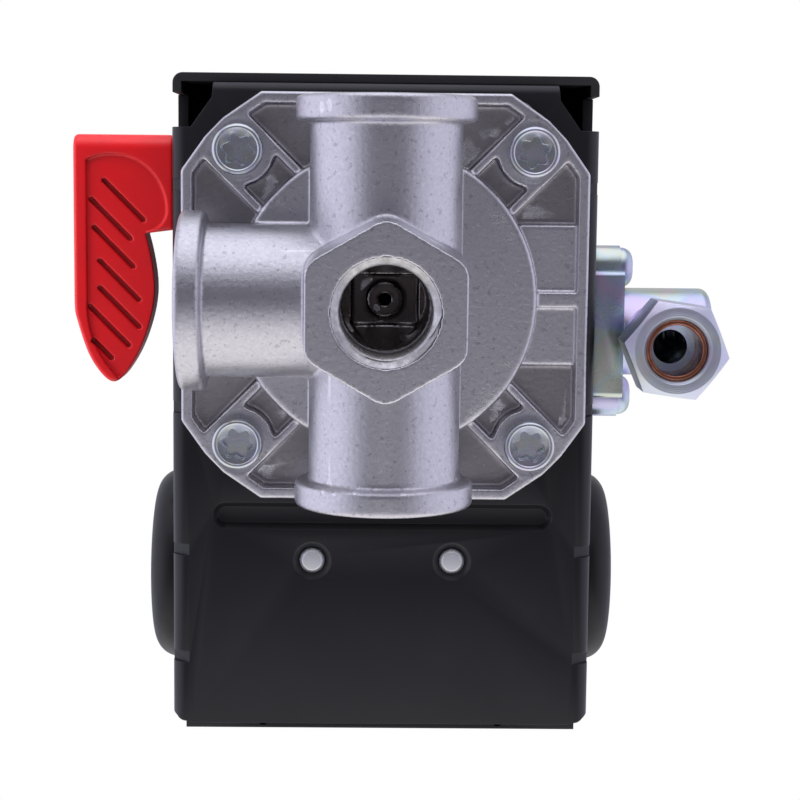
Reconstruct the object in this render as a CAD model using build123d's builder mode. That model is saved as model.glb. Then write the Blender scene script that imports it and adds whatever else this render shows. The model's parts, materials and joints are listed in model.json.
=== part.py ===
"""Air-compressor pressure switch with a four-port manifold, an off lever and an unloader valve.

Frame: millimetres. The origin is the centre of the mouth of the hexagonal inlet port, +Z runs up
the inlet's axis into the switch, -Y is the front, +X is the unloader's side and -X the lever's.
"""

import os

from build123d import *

os.makedirs("parts", exist_ok=True)

# ---- driving dimensions -------------------------------------------------------------------------

# quarter-inch pipe ports
THREAD_R = 6.75
THREAD_LEN = 11.5
PASSAGE_R = 5.6

# cast manifold
PORT_Z = 20.0
PORT_REACH = 26.8
BARREL_R = 9.95
COLLAR_R = 11.8
COLLAR_WIDTH = 3.4
HEX_FLATS = 20.0
HEX_CORNER_R = 2.9
DISC_R = 20.5
DISC_Z = 26.0
FLANGE_Z = 28.0
FLANGE_FLOOR_Z = 31.2
RIM = 1.5
SCREW_HALF = 19.8
BOSS_R = 4.7
SPOTFACE_DEEP = 0.1
BAND_WIDTH = 7.3
RIB = 1.1
DISC_CHAMFER = 0.4
FLANGE_CHAMFER = 0.25

# sheet-metal base
BASE_Z = 34.0
SHEET = 1.5
BODY_HALF = 29.5
FRONT_Y = -29.1
BACK_Y = 61.0
WALL_TOP_Z = 73.9
FRONT_LIP_Z = 44.0
BEND_R = 2.0
PISTON_HOLE_R = 13.0

# cover
COVER_SKIN = 1.2
COVER_FRONT_Y = -30.4
COVER_BACK_Y = 62.3
COVER_RIM_Z = 36.2
COVER_TOP_Z = 96.0
COVER_EDGE_R = 3.0

# things on the side walls
LEVER_Y = -15.2
LEVER_Z = 52.0
LEVER_HUB_R = 6.9
LEVER_SHAFT_R = 4.0
CONDUIT_Y = 42.2
CONDUIT_Z = 55.5
KNOCKOUT_R = 11.1
VALVE_Y = 5.9
VALVE_Z = 50.0
VALVE_SCREW_HALF = 9.4
OUTLET_X = 40.2
OUTLET_Y = 6.9

# mechanism
FLOOR_Z = BASE_Z + SHEET
PIN_Y = -21.0
PIN_Z = 47.0
PIN_R = 2.0
PLATE_Z = 44.0
PLATE_SHEET = 1.5
STUD_Y = 16.5
RANGE_X = -7.0
DIFFERENCE_X = 9.0
POSTS = [(21.5, -6.0), (-22.9, 24.8)]

# contact block
BLOCK_HALF = 24.5
BLOCK_FRONT_Y = 28.0
BLOCK_BACK_Y = 56.5
BLOCK_Z = 36.9
DECK_Z = 54.0
BARRIER_Z = 62.0
POLES_X = [-20.0, -11.0, 11.0, 20.0]
BLOCK_SCREW_X = 9.85
BLOCK_SCREW_Y = 37.5
CONTACT_Y = 33.5

RUNNING = 0.05


def level(z):
    """A sketch plane at height z, facing up."""
    return Plane.XY.offset(z)


def across(y):
    """A sketch plane at y whose local axes are X and Z, and which extrudes towards the front."""
    return Plane.XZ.offset(-y)


def sideways(x):
    """A sketch plane at x whose local axes are Y and Z, and which extrudes towards +X."""
    return Plane.YZ.offset(x)


# ---- manifold -----------------------------------------------------------------------------------

PORT_DIRECTIONS = [(0, -1, 0), (0, 1, 0), (-1, 0, 0)]
FLANGE_CORNER = [(16.8, 27.6), (21.9, 24.1), (24.4, 21.5), (27.6, 17.0)]


def flange_outline():
    """The flange's outline: a square whose corners are cut by three short flats each."""
    quarter = FLANGE_CORNER
    points = list(quarter)
    points += [(x, -y) for x, y in reversed(quarter)]
    points += [(-x, -y) for x, y in quarter]
    points += [(-x, y) for x, y in reversed(quarter)]
    return points


with BuildPart() as manifold:
    # flange plate, with its lower edge chamfered
    with BuildSketch(level(FLANGE_Z + FLANGE_CHAMFER)):
        Polygon(*flange_outline(), align=None)
    extrude(amount=BASE_Z - FLANGE_Z - FLANGE_CHAMFER)
    with BuildSketch(level(FLANGE_Z + FLANGE_CHAMFER)):
        Polygon(*flange_outline(), align=None)
    extrude(amount=-FLANGE_CHAMFER, taper=45)
    # weight-saving pockets, cut between the rim, the screw bands and the disc
    with BuildSketch(level(FLANGE_Z)):
        Polygon(*flange_outline(), align=None)
        offset(amount=-RIM, mode=Mode.REPLACE)
        for turn in (45, -45):
            Rectangle(80, BAND_WIDTH + RIB, rotation=turn, mode=Mode.SUBTRACT)
        Circle(DISC_R - 0.5, mode=Mode.SUBTRACT)
    extrude(amount=FLANGE_FLOOR_Z - FLANGE_Z, mode=Mode.SUBTRACT)
    # the hollow between each screw boss and the disc
    with BuildSketch(level(FLANGE_Z)):
        for turn in (45, -45):
            Rectangle(48, BAND_WIDTH - RIB, rotation=turn)
        with GridLocations(2 * SCREW_HALF, 2 * SCREW_HALF, 2, 2):
            Circle(BOSS_R, mode=Mode.SUBTRACT)
        Circle(DISC_R - 0.5, mode=Mode.SUBTRACT)
    extrude(amount=FLANGE_FLOOR_Z - FLANGE_Z, mode=Mode.SUBTRACT)
    # spot faces under the screw heads
    with BuildSketch(level(FLANGE_Z)):
        with GridLocations(2 * SCREW_HALF, 2 * SCREW_HALF, 2, 2):
            Circle(BOSS_R - 0.5)
    extrude(amount=SPOTFACE_DEEP, mode=Mode.SUBTRACT)
    # raised floor and rib on the side that has no port
    with BuildSketch(level(29.3)):
        with Locations((22.5, -0.5)):
            Rectangle(8.4, 19.2)
    extrude(amount=FLANGE_FLOOR_Z - 29.3)
    with BuildSketch(level(FLANGE_Z)):
        with Locations((22.5, 0)):
            Rectangle(8.4, 2.0)
    extrude(amount=FLANGE_FLOOR_Z - FLANGE_Z)
    # pressure chamber disc
    with BuildSketch(level(DISC_Z + DISC_CHAMFER)):
        Circle(DISC_R)
    extrude(amount=BASE_Z - DISC_Z - DISC_CHAMFER - 1.5)
    with BuildSketch(level(DISC_Z + DISC_CHAMFER)):
        Circle(DISC_R)
    extrude(amount=-DISC_CHAMFER, taper=45)
    # three side ports: a barrel, the web that carries it and a collar
    for direction in PORT_DIRECTIONS:
        port = Plane(origin=(0, 0, PORT_Z), x_dir=(-direction[1], direction[0], 0), z_dir=direction)
        with BuildSketch(port):
            Circle(BARREL_R)
            with Locations((0, 5.0)):
                Rectangle(2 * BARREL_R, 10.0)
        extrude(amount=PORT_REACH - 1)
        # the collar's section: the plane's X runs out along the port and its Y is radial
        section = Plane(origin=(0, 0, PORT_Z), x_dir=direction, z_dir=(direction[1], -direction[0], 0))
        with BuildSketch(section) as collar:
            with Locations((PORT_REACH - COLLAR_WIDTH / 2, COLLAR_R / 2)):
                Rectangle(COLLAR_WIDTH, COLLAR_R)
            outer = [v for v in collar.vertices() if abs(v.Z - PORT_Z) > COLLAR_R - 0.1]
            fillet(outer, radius=0.7)
        revolve(axis=Axis((0, 0, PORT_Z), direction))
    # hexagonal inlet boss, drafted
    with BuildSketch(level(0)) as hexagon:
        RegularPolygon(HEX_FLATS / 2, 6, major_radius=False, rotation=30)
        fillet(hexagon.vertices(), radius=HEX_CORNER_R)
    extrude(amount=PORT_Z, taper=-2)
    # bores: threads first, then the passages that meet in the middle
    for direction in PORT_DIRECTIONS:
        mouth = Plane(origin=(0, 0, PORT_Z), z_dir=direction).offset(PORT_REACH)
        with BuildSketch(mouth):
            Circle(THREAD_R)
        extrude(amount=-THREAD_LEN, mode=Mode.SUBTRACT)
        with BuildSketch(mouth):
            Circle(PASSAGE_R)
        extrude(amount=-PORT_REACH, mode=Mode.SUBTRACT)
    with BuildSketch(level(0)):
        Circle(THREAD_R)
    extrude(amount=THREAD_LEN, mode=Mode.SUBTRACT)
    with BuildSketch(level(0)):
        Circle(PASSAGE_R)
    extrude(amount=PORT_Z + 5, mode=Mode.SUBTRACT)
    with BuildSketch(level(PORT_Z)):
        Rectangle(9.0, 6.8)
    extrude(amount=7.0, mode=Mode.SUBTRACT)
    # snubber hole and its boss, then the chamber below the diaphragm
    with BuildSketch(level(PORT_Z + 6)):
        Circle(2.4)
    extrude(amount=2.0)
    with BuildSketch(level(PORT_Z + 5)):
        Circle(0.85)
    extrude(amount=8.0, mode=Mode.SUBTRACT)
    with BuildSketch(level(30.0)):
        Circle(PISTON_HOLE_R)
    extrude(amount=BASE_Z - 30.0, mode=Mode.SUBTRACT)
    with BuildSketch(level(BASE_Z - 1.5)):
        Circle(DISC_R - 0.6)
    extrude(amount=1.5, mode=Mode.SUBTRACT)
    # clearance holes for the four flange screws
    with BuildSketch(level(FLANGE_Z)):
        with GridLocations(2 * SCREW_HALF, 2 * SCREW_HALF, 2, 2):
            Circle(2.1)
    extrude(amount=BASE_Z - FLANGE_Z, mode=Mode.SUBTRACT)

with BuildPart() as diaphragm:
    with BuildSketch(level(BASE_Z - 1.5)):
        Circle(DISC_R - 0.7)
    extrude(amount=1.5)

HEAD_HEIGHT = 2.8

with BuildPart() as manifold_screws:
    with BuildSketch(level(FLANGE_Z + SPOTFACE_DEEP)):
        with GridLocations(2 * SCREW_HALF, 2 * SCREW_HALF, 2, 2):
            Circle(3.45)
    extrude(amount=-HEAD_HEIGHT)
    fillet(manifold_screws.edges().group_by(Axis.Z)[0], radius=0.8)
    with BuildSketch(level(FLANGE_Z)):
        with GridLocations(2 * SCREW_HALF, 2 * SCREW_HALF, 2, 2):
            Circle(2.0)
    extrude(amount=FLOOR_Z + 3 - FLANGE_Z)
    # six-lobed driver recess
    with BuildSketch(level(FLANGE_Z + SPOTFACE_DEEP - HEAD_HEIGHT)):
        with GridLocations(2 * SCREW_HALF, 2 * SCREW_HALF, 2, 2):
            Circle(1.75)
            with PolarLocations(1.72, 6):
                Circle(0.5)
            with PolarLocations(2.2, 6, start_angle=30):
                Circle(0.62, mode=Mode.SUBTRACT)
    extrude(amount=1.7, mode=Mode.SUBTRACT)


# ---- base ---------------------------------------------------------------------------------------

GUSSETS_Y = [-15.0, 15.9, 36.0, 51.4]
CORNER_CUT = [(30.5, -22.9), (26.8, -22.9), (23.9, -27.0), (23.6, -31.0), (30.5, -31.0)]
REAR_CUT = [
    (26.6, BACK_Y + 1),
    (26.6, BACK_Y),
    (28.4, BACK_Y - 0.5),
    (29.5, BACK_Y - 1.3),
    (30.5, BACK_Y - 1.3),
    (30.5, BACK_Y + 1),
]
BEAD_Y = 31.1
BEAD_LENGTH = 47.8
BEAD_WIDTH = 3.8

with BuildPart() as pressed_sheet:
    # floor and side walls, bent from one sheet
    with BuildSketch(across(BACK_Y)) as channel:
        with Locations((0, (BASE_Z + WALL_TOP_Z) / 2)):
            Rectangle(2 * BODY_HALF, WALL_TOP_Z - BASE_Z)
        fillet(channel.vertices().group_by(Axis.Z)[0], radius=BEND_R)
        with Locations((0, (FLOOR_Z + WALL_TOP_Z) / 2 + 1)):
            Rectangle(2 * (BODY_HALF - SHEET), WALL_TOP_Z - FLOOR_Z + 2, mode=Mode.SUBTRACT)
    extrude(amount=BACK_Y - FRONT_Y - SHEET)
    # front lip
    with BuildSketch(sideways(-BODY_HALF)) as front_bend:
        with BuildLine():
            Polyline(
                (FRONT_Y + SHEET + 1, BASE_Z),
                (FRONT_Y, BASE_Z),
                (FRONT_Y, FRONT_LIP_Z),
                (FRONT_Y + SHEET, FRONT_LIP_Z),
                (FRONT_Y + SHEET, FLOOR_Z),
                (FRONT_Y + SHEET + 1, FLOOR_Z),
                close=True,
            )
        make_face()
        fillet(front_bend.vertices().sort_by_distance((-BODY_HALF, FRONT_Y, BASE_Z))[0], radius=1.4)
    extrude(amount=2 * BODY_HALF)
    # corner cut-outs of the blank, which leave the bends free
    with BuildSketch(level(BASE_Z)):
        Polygon(*CORNER_CUT, align=None)
        Polygon(*[(-x, y) for x, y in CORNER_CUT], align=None)
    extrude(amount=FRONT_LIP_Z - BASE_Z, mode=Mode.SUBTRACT)
    with BuildSketch(level(BASE_Z)):
        Polygon(*REAR_CUT, align=None)
        Polygon(*[(-x, y) for x, y in REAR_CUT], align=None)
    extrude(amount=WALL_TOP_Z - BASE_Z, mode=Mode.SUBTRACT)
    # the pressed bead: hollow below, proud inside
    with BuildSketch(level(FLOOR_Z)):
        with Locations((0, BEAD_Y)):
            SlotOverall(BEAD_LENGTH, BEAD_WIDTH)
    extrude(amount=1.0, taper=25)
    with BuildSketch(level(BASE_Z)):
        with Locations((0, BEAD_Y)):
            SlotOverall(BEAD_LENGTH, BEAD_WIDTH)
    extrude(amount=1.1, taper=35, mode=Mode.SUBTRACT)
    # corner gussets: a web inside each bend and the dart pressed into it
    for side in (-1, 1):
        for gusset_y in GUSSETS_Y:
            with BuildSketch(across(gusset_y + 1.3)):
                Polygon(
                    (side * (BODY_HALF - SHEET), FLOOR_Z),
                    (side * (BODY_HALF - SHEET - 3), FLOOR_Z),
                    (side * (BODY_HALF - SHEET), FLOOR_Z + 3),
                    align=None,
                )
            extrude(amount=2.6)
            with BuildSketch(across(gusset_y + 0.8)):
                Polygon(
                    (side * (BODY_HALF + 0.6), BASE_Z - 0.6),
                    (side * (BODY_HALF - 3.0), BASE_Z - 0.6),
                    (side * (BODY_HALF + 0.6), BASE_Z + 3.0),
                    align=None,
                )
            extrude(amount=1.6, mode=Mode.SUBTRACT)
    # holes in the floor
    with BuildSketch(level(BASE_Z)):
        Circle(PISTON_HOLE_R)
        with GridLocations(2 * SCREW_HALF, 2 * SCREW_HALF, 2, 2):
            Circle(2.0)
        with Locations((RANGE_X, STUD_Y), (DIFFERENCE_X, STUD_Y)):
            Circle(2.0)
        with Locations((18.5, -25.0)):
            Circle(1.75)
    extrude(amount=SHEET, mode=Mode.SUBTRACT)
    for x in (-BLOCK_SCREW_X, BLOCK_SCREW_X):
        with Locations(Location((x, BLOCK_SCREW_Y, BASE_Z), (180, 0, 0))):
            CounterSinkHole(1.8, 2.75, depth=SHEET, counter_sink_angle=100)
    # holes in the side walls
    with BuildSketch(sideways(-BODY_HALF - 1)):
        with Locations((CONDUIT_Y, CONDUIT_Z)):
            Circle(KNOCKOUT_R)
    extrude(amount=2 * BODY_HALF + 2, mode=Mode.SUBTRACT)
    with BuildSketch(sideways(-BODY_HALF - 1)):
        with Locations((LEVER_Y, LEVER_Z)):
            Circle(LEVER_SHAFT_R + RUNNING)
    extrude(amount=SHEET + 2, mode=Mode.SUBTRACT)
    with BuildSketch(sideways(BODY_HALF - SHEET - 1)):
        with Locations((VALVE_Y, VALVE_Z)):
            Circle(3.2)
        with Locations((VALVE_Y - VALVE_SCREW_HALF, VALVE_Z), (VALVE_Y + VALVE_SCREW_HALF, VALVE_Z)):
            Circle(1.6)
    extrude(amount=SHEET + 2, mode=Mode.SUBTRACT)

# the walls above the bends are nodes of their own, cut from the same sheet
WALLS_Z = BASE_Z + BEND_R
WALL_ZONE = (8, 200, 80)
ON_PLANE = (Align.CENTER, Align.CENTER, Align.MIN)

with BuildPart() as left_wall:
    add(pressed_sheet.part)
    with Locations((-BODY_HALF, 0, WALLS_Z)):
        Box(*WALL_ZONE, align=ON_PLANE, mode=Mode.INTERSECT)

with BuildPart() as right_wall:
    add(pressed_sheet.part)
    with Locations((BODY_HALF, 0, WALLS_Z)):
        Box(*WALL_ZONE, align=ON_PLANE, mode=Mode.INTERSECT)

with BuildPart() as base_frame:
    add(pressed_sheet.part)
    with Locations((-BODY_HALF, 0, WALLS_Z), (BODY_HALF, 0, WALLS_Z)):
        Box(*WALL_ZONE, align=ON_PLANE, mode=Mode.SUBTRACT)

with BuildPart() as ground_screw:
    with BuildSketch(level(FLOOR_Z)):
        with Locations((18.5, -25.0)):
            Circle(2.5)
    extrude(amount=2.2)
    with BuildSketch(level(FLOOR_Z)):
        with Locations((18.5, -25.0)):
            Circle(1.75)
    extrude(amount=-SHEET)
    with BuildSketch(level(FLOOR_Z + 1.2)):
        with Locations((18.5, -25.0)):
            Rectangle(3.8, 0.8)
            Rectangle(0.8, 3.8)
    extrude(amount=1.0, mode=Mode.SUBTRACT)


# ---- cover --------------------------------------------------------------------------------------

WALL_FRONT_Y = FRONT_Y + SHEET
COVER_LENGTH = COVER_BACK_Y - COVER_FRONT_Y
COVER_MID_Y = (COVER_BACK_Y + COVER_FRONT_Y) / 2
POST_TOP_Z = COVER_TOP_Z - COVER_SKIN

with BuildPart() as cover:
    with BuildSketch(level(COVER_RIM_Z)) as cover_plan:
        with Locations((0, COVER_MID_Y)):
            Rectangle(2 * BODY_HALF, COVER_LENGTH)
        fillet(cover_plan.vertices(), radius=1.4)
    extrude(amount=COVER_TOP_Z - COVER_RIM_Z)
    fillet(cover.faces().sort_by(Axis.Z)[-1].edges(), radius=COVER_EDGE_R)
    with BuildSketch(level(COVER_RIM_Z)):
        with Locations((0, COVER_MID_Y)):
            Rectangle(2 * (BODY_HALF - COVER_SKIN), COVER_LENGTH - 2 * COVER_SKIN)
    extrude(amount=COVER_TOP_Z - COVER_SKIN - COVER_RIM_Z, mode=Mode.SUBTRACT)
    fillet(cover.faces().filter_by(Plane.XY).sort_by(Axis.Z)[-2].edges(), radius=COVER_EDGE_R - COVER_SKIN)
    # the side walls stop on top of the base's walls, with a return in front of each
    with BuildSketch(level(COVER_RIM_Z)):
        with Locations((0, (WALL_FRONT_Y - RUNNING + COVER_BACK_Y - COVER_SKIN) / 2)):
            Rectangle(2 * BODY_HALF + 2, COVER_BACK_Y - COVER_SKIN - WALL_FRONT_Y + RUNNING)
    extrude(amount=WALL_TOP_Z + 0.1 - COVER_RIM_Z, mode=Mode.SUBTRACT)
    # corner reliefs and half-round notches of the rear rim, and the holes for the two cover screws
    with BuildSketch(level(COVER_RIM_Z)):
        for side in (-1, 1):
            with Locations((side * BODY_HALF, COVER_BACK_Y - 0.6)):
                Rectangle(3.4, 2.0)
            with Locations((side * 16.8, COVER_BACK_Y - COVER_SKIN)):
                Circle(0.8)
    extrude(amount=3.0, mode=Mode.SUBTRACT)
    with BuildSketch(level(COVER_TOP_Z - 5)):
        with Locations(*POSTS):
            Circle(2.2)
    extrude(amount=10, mode=Mode.SUBTRACT)

with BuildPart() as cover_label:
    with BuildSketch(level(COVER_TOP_Z)):
        with Locations((0, 40)):
            RectangleRounded(40, 22, 2)
    extrude(amount=0.15)

with BuildPart() as cover_screws:
    with BuildSketch(level(COVER_TOP_Z)):
        with Locations(*POSTS):
            Circle(3.6)
    extrude(amount=2.4)
    fillet(cover_screws.edges().group_by(Axis.Z)[-1], radius=0.9)
    with BuildSketch(level(COVER_TOP_Z)):
        with Locations(*POSTS):
            Circle(1.95)
    extrude(amount=-11)
    with BuildSketch(level(COVER_TOP_Z + 1.3)):
        for post in POSTS:
            with Locations(post):
                Rectangle(4.6, 0.9)
                Rectangle(0.9, 4.6)
    extrude(amount=1.2, mode=Mode.SUBTRACT)

with BuildPart() as cover_posts:
    with BuildSketch(level(FLOOR_Z)):
        with Locations(*POSTS):
            RegularPolygon(3.0, 6, major_radius=False)
    extrude(amount=POST_TOP_Z - FLOOR_Z)
    with BuildSketch(level(POST_TOP_Z)):
        with Locations(*POSTS):
            Circle(1.95 + RUNNING)
    extrude(amount=-14, mode=Mode.SUBTRACT)


# ---- off lever ----------------------------------------------------------------------------------

HUB_OUTER_X = -44.7
HUB_INNER_X = -30.2
PADDLE_Z = LEVER_Z - LEVER_HUB_R - 0.15
PADDLE_THICK = 5.9
PADDLE_FRONT_Y = -22.0
FRONT_ROUND = 2.2
RIM_ROUND = 0.6
DISH_DEEP = 0.5
GROOVE_DEEP = 0.7
BLADE = [
    (-34.4, -7.9),
    (-33.5, -4.0),
    (-33.1, 0.2),
    (-33.7, 4.3),
    (-35.0, 8.2),
    (-36.9, 11.7),
    (-39.1, 13.6),
    (-41.2, 12.0),
    (-43.3, 8.0),
    (-44.4, 4.4),
    (HUB_OUTER_X, 1.0),
]
GROOVE_WIDTH = 0.75
GROOVE_LENGTH = 8.6
GROOVES = [(-37.5, -12.6), (-39.4, -9.9), (-39.0, -5.9), (-38.2, -1.1), (-38.2, 2.8), (-39.7, 5.5)]
LAST_GROOVE = (-40.7, 8.9)
CAM_HUB_R = 4.6
CAM_NOSE_R = 1.8
CAM_R = 8.0
CAM_LOBE = (CAM_R - CAM_NOSE_R) * 0.7071

with BuildPart() as off_lever:
    # hub, turning on the side wall
    with BuildSketch(sideways(HUB_OUTER_X)):
        with Locations((LEVER_Y, LEVER_Z)):
            Circle(LEVER_HUB_R)
    extrude(amount=HUB_INNER_X - HUB_OUTER_X)
    # paddle
    with BuildSketch(level(PADDLE_Z)):
        with BuildLine():
            Line((HUB_OUTER_X, PADDLE_FRONT_Y), (HUB_INNER_X, PADDLE_FRONT_Y))
            Line((HUB_INNER_X, PADDLE_FRONT_Y), (HUB_INNER_X, -8.45))
            Line((HUB_INNER_X, -8.45), (-34.4, -7.9))
            Spline(*BLADE, tangents=[(0.3, 1.0), (0.0, -1.0)])
            Line((HUB_OUTER_X, 1.0), (HUB_OUTER_X, PADDLE_FRONT_Y))
        make_face()
    extrude(amount=PADDLE_THICK)
    underside = off_lever.faces().filter_by(Plane.XY).sort_by(Axis.Z)[0]
    fillet(underside.edges().sort_by(Axis.Y)[0], radius=FRONT_ROUND)
    underside = off_lever.faces().filter_by(Plane.XY).sort_by(Axis.Z)[0]
    fillet(underside.outer_wire().edges().sort_by(Axis.Y)[1:], radius=RIM_ROUND)
    # shallow dish under the finger, open on the side next to the wall
    with BuildSketch(level(PADDLE_Z)):
        with BuildLine():
            ThreePointArc((-42.8, -18.4), (-38.8, -19.3), (-35.2, -18.3))
            ThreePointArc((-35.2, -18.3), (-32.6, -15.8), (-31.3, -12.0))
            ThreePointArc((-31.3, -12.0), (-31.9, -9.4), (-34.2, -8.1))
            Polyline((-34.2, -8.1), (-32.0, -6.0), (-32.0, 13.0), (-38.4, 13.0))
            ThreePointArc((-38.4, 13.0), (-41.8, 8.0), (-42.8, 2.0))
            Line((-42.8, 2.0), (-42.8, -18.4))
        make_face()
    extrude(amount=DISH_DEEP, mode=Mode.SUBTRACT)
    # finger grooves
    with BuildSketch(level(PADDLE_Z)):
        with Locations(*GROOVES):
            SlotOverall(GROOVE_LENGTH, GROOVE_WIDTH, rotation=45)
        with Locations(LAST_GROOVE):
            SlotOverall(GROOVE_LENGTH / 2, GROOVE_WIDTH, rotation=45)
    extrude(amount=DISH_DEEP + GROOVE_DEEP, mode=Mode.SUBTRACT)
    # square socket for the shaft
    with BuildSketch(sideways(HUB_INNER_X - 9)):
        with Locations((LEVER_Y, LEVER_Z)):
            Rectangle(5.0, 5.0)
    extrude(amount=9, mode=Mode.SUBTRACT)

with BuildPart() as lever_shaft:
    with BuildSketch(sideways(-BODY_HALF - 0.6)):
        with Locations((LEVER_Y, LEVER_Z)):
            Circle(LEVER_SHAFT_R)
    extrude(amount=8.4)
    with BuildSketch(sideways(HUB_INNER_X - 8.5)):
        with Locations((LEVER_Y, LEVER_Z)):
            Rectangle(5.0, 5.0)
    extrude(amount=8.7)
    with BuildSketch(sideways(-21.7)):
        with Locations((LEVER_Y, LEVER_Z)):
            Rectangle(5.0, 5.0)
    extrude(amount=4.4)

with BuildPart() as lever_cam:
    # the lobe stands at 45 degrees at rest and points up, under the plate's ear, when off
    with BuildSketch(sideways(-21.7)) as cam_face:
        with Locations((LEVER_Y, LEVER_Z)):
            Circle(CAM_HUB_R)
        with Locations((LEVER_Y + CAM_LOBE, LEVER_Z + CAM_LOBE)):
            Circle(CAM_NOSE_R)
        make_hull()
        with Locations((LEVER_Y, LEVER_Z)):
            Rectangle(5.0, 5.0, mode=Mode.SUBTRACT)
    extrude(amount=4.0)

with BuildPart() as lever_ring:
    with BuildSketch(sideways(-BODY_HALF + SHEET + 0.1)):
        with Locations((LEVER_Y, LEVER_Z)):
            Circle(5.6)
            Circle(LEVER_SHAFT_R, mode=Mode.SUBTRACT)
    extrude(amount=0.8)


# ---- conduit bushings ---------------------------------------------------------------------------

BUSHING_R = 14.2
BUSHING_BORE_R = 8.5
BUSHING_OUT = 4.25
BUSHING_IN = 4.4


def bushing_profile(side):
    """Half section of a conduit bushing in the X-Z plane, measured from its own axis."""
    wall = side * BODY_HALF
    with BuildSketch(Plane.XZ.offset(-CONDUIT_Y)) as section:
        with BuildLine():
            Polyline(
                (wall - side * BUSHING_IN, CONDUIT_Z + BUSHING_BORE_R),
                (wall + side * BUSHING_OUT, CONDUIT_Z + BUSHING_BORE_R),
                (wall + side * BUSHING_OUT, CONDUIT_Z + BUSHING_R - 3.4),
            )
            ThreePointArc(
                (wall + side * BUSHING_OUT, CONDUIT_Z + BUSHING_R - 3.4),
                (wall + side * (BUSHING_OUT - 1.0), CONDUIT_Z + BUSHING_R - 1.0),
                (wall + side * (BUSHING_OUT - 3.4), CONDUIT_Z + BUSHING_R),
            )
            Polyline(
                (wall + side * (BUSHING_OUT - 3.4), CONDUIT_Z + BUSHING_R),
                (wall, CONDUIT_Z + BUSHING_R),
                (wall, CONDUIT_Z + KNOCKOUT_R),
                (wall - side * BUSHING_IN, CONDUIT_Z + KNOCKOUT_R),
                (wall - side * BUSHING_IN, CONDUIT_Z + BUSHING_BORE_R),
            )
        make_face()
    return section.sketch


CONDUIT_AXIS = Axis((0, CONDUIT_Y, CONDUIT_Z), (1, 0, 0))

with BuildPart() as left_bushing:
    add(bushing_profile(-1))
    revolve(axis=CONDUIT_AXIS)

with BuildPart() as right_bushing:
    add(bushing_profile(1))
    revolve(axis=CONDUIT_AXIS)

with BuildPart() as bushing_nuts:
    for nut_x in (-BODY_HALF + SHEET, BODY_HALF - SHEET - 2.4):
        with BuildSketch(sideways(nut_x)):
            with Locations((CONDUIT_Y, CONDUIT_Z)):
                RegularPolygon(14.0, 8)
                Circle(KNOCKOUT_R, mode=Mode.SUBTRACT)
        extrude(amount=2.4)


# ---- unloader valve -----------------------------------------------------------------------------

FLANGE_FACE_X = 34.5
VALVE_END_X = 47.7
VALVE_R = 6.4
NUT_Z = 29.0
NUT_TOP_Z = 37.4
NUT_FLATS = 12.7
NUT_TURN = 8.0
TUBE_R = 3.5
OUTLET_PASSAGE_R = 2.4
SLEEVE_R = 4.2
OUTLET_R = 4.9

with BuildPart() as unloader_gasket:
    with BuildSketch(sideways(BODY_HALF)):
        with Locations((VALVE_Y, VALVE_Z)):
            Rectangle(18.2, 15.0)
            SlotCenterToCenter(2 * VALVE_SCREW_HALF, 6.4)
            Circle(3.2, mode=Mode.SUBTRACT)
        with Locations((VALVE_Y - VALVE_SCREW_HALF, VALVE_Z), (VALVE_Y + VALVE_SCREW_HALF, VALVE_Z)):
            Circle(1.6, mode=Mode.SUBTRACT)
    extrude(amount=0.6)

with BuildPart() as unloader_body:
    with BuildSketch(sideways(BODY_HALF + 0.6)):
        with Locations((VALVE_Y, VALVE_Z)):
            SlotCenterToCenter(2 * VALVE_SCREW_HALF, 6.4)
    extrude(amount=FLANGE_FACE_X - BODY_HALF - 0.6)
    with BuildSketch(sideways(BODY_HALF + 0.6)) as valve_block:
        with Locations((VALVE_Y, VALVE_Z)):
            Rectangle(18.2, 15.0)
        fillet(valve_block.vertices(), radius=0.8)
    extrude(amount=FLANGE_FACE_X - BODY_HALF - 0.6)
    with BuildSketch(sideways(FLANGE_FACE_X)):
        with Locations((VALVE_Y, VALVE_Z)):
            Circle(VALVE_R)
    extrude(amount=VALVE_END_X - FLANGE_FACE_X)
    fillet(unloader_body.faces().sort_by(Axis.X)[-1].edges(), radius=1.4)
    # outlet: shoulder, then the threaded spigot that the nut goes on
    with BuildSketch(level(VALVE_Z)):
        with Locations((OUTLET_X, OUTLET_Y)):
            Circle(5.6)
    extrude(amount=NUT_TOP_Z + 1.2 - VALVE_Z)
    with BuildSketch(level(VALVE_Z)):
        with Locations((OUTLET_X, OUTLET_Y)):
            Circle(OUTLET_R)
    extrude(amount=33.0 - VALVE_Z)
    # bores
    with BuildSketch(level(33.0)):
        with Locations((OUTLET_X, OUTLET_Y)):
            Circle(SLEEVE_R)
    extrude(amount=3.2, mode=Mode.SUBTRACT)
    with BuildSketch(level(33.0)):
        with Locations((OUTLET_X, OUTLET_Y)):
            Circle(OUTLET_PASSAGE_R)
    extrude(amount=VALVE_Z - 33.0, mode=Mode.SUBTRACT)
    with BuildSketch(sideways(BODY_HALF)):
        with Locations((VALVE_Y, VALVE_Z)):
            Circle(2.0 + RUNNING)
    extrude(amount=9.0, mode=Mode.SUBTRACT)
    with BuildSketch(sideways(36.0)):
        with Locations((VALVE_Y, VALVE_Z)):
            Circle(3.6)
    extrude(amount=10.4, mode=Mode.SUBTRACT)
    with BuildSketch(sideways(BODY_HALF)):
        with Locations((VALVE_Y - VALVE_SCREW_HALF, VALVE_Z), (VALVE_Y + VALVE_SCREW_HALF, VALVE_Z)):
            Circle(1.7)
    extrude(amount=8.0, mode=Mode.SUBTRACT)

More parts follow.
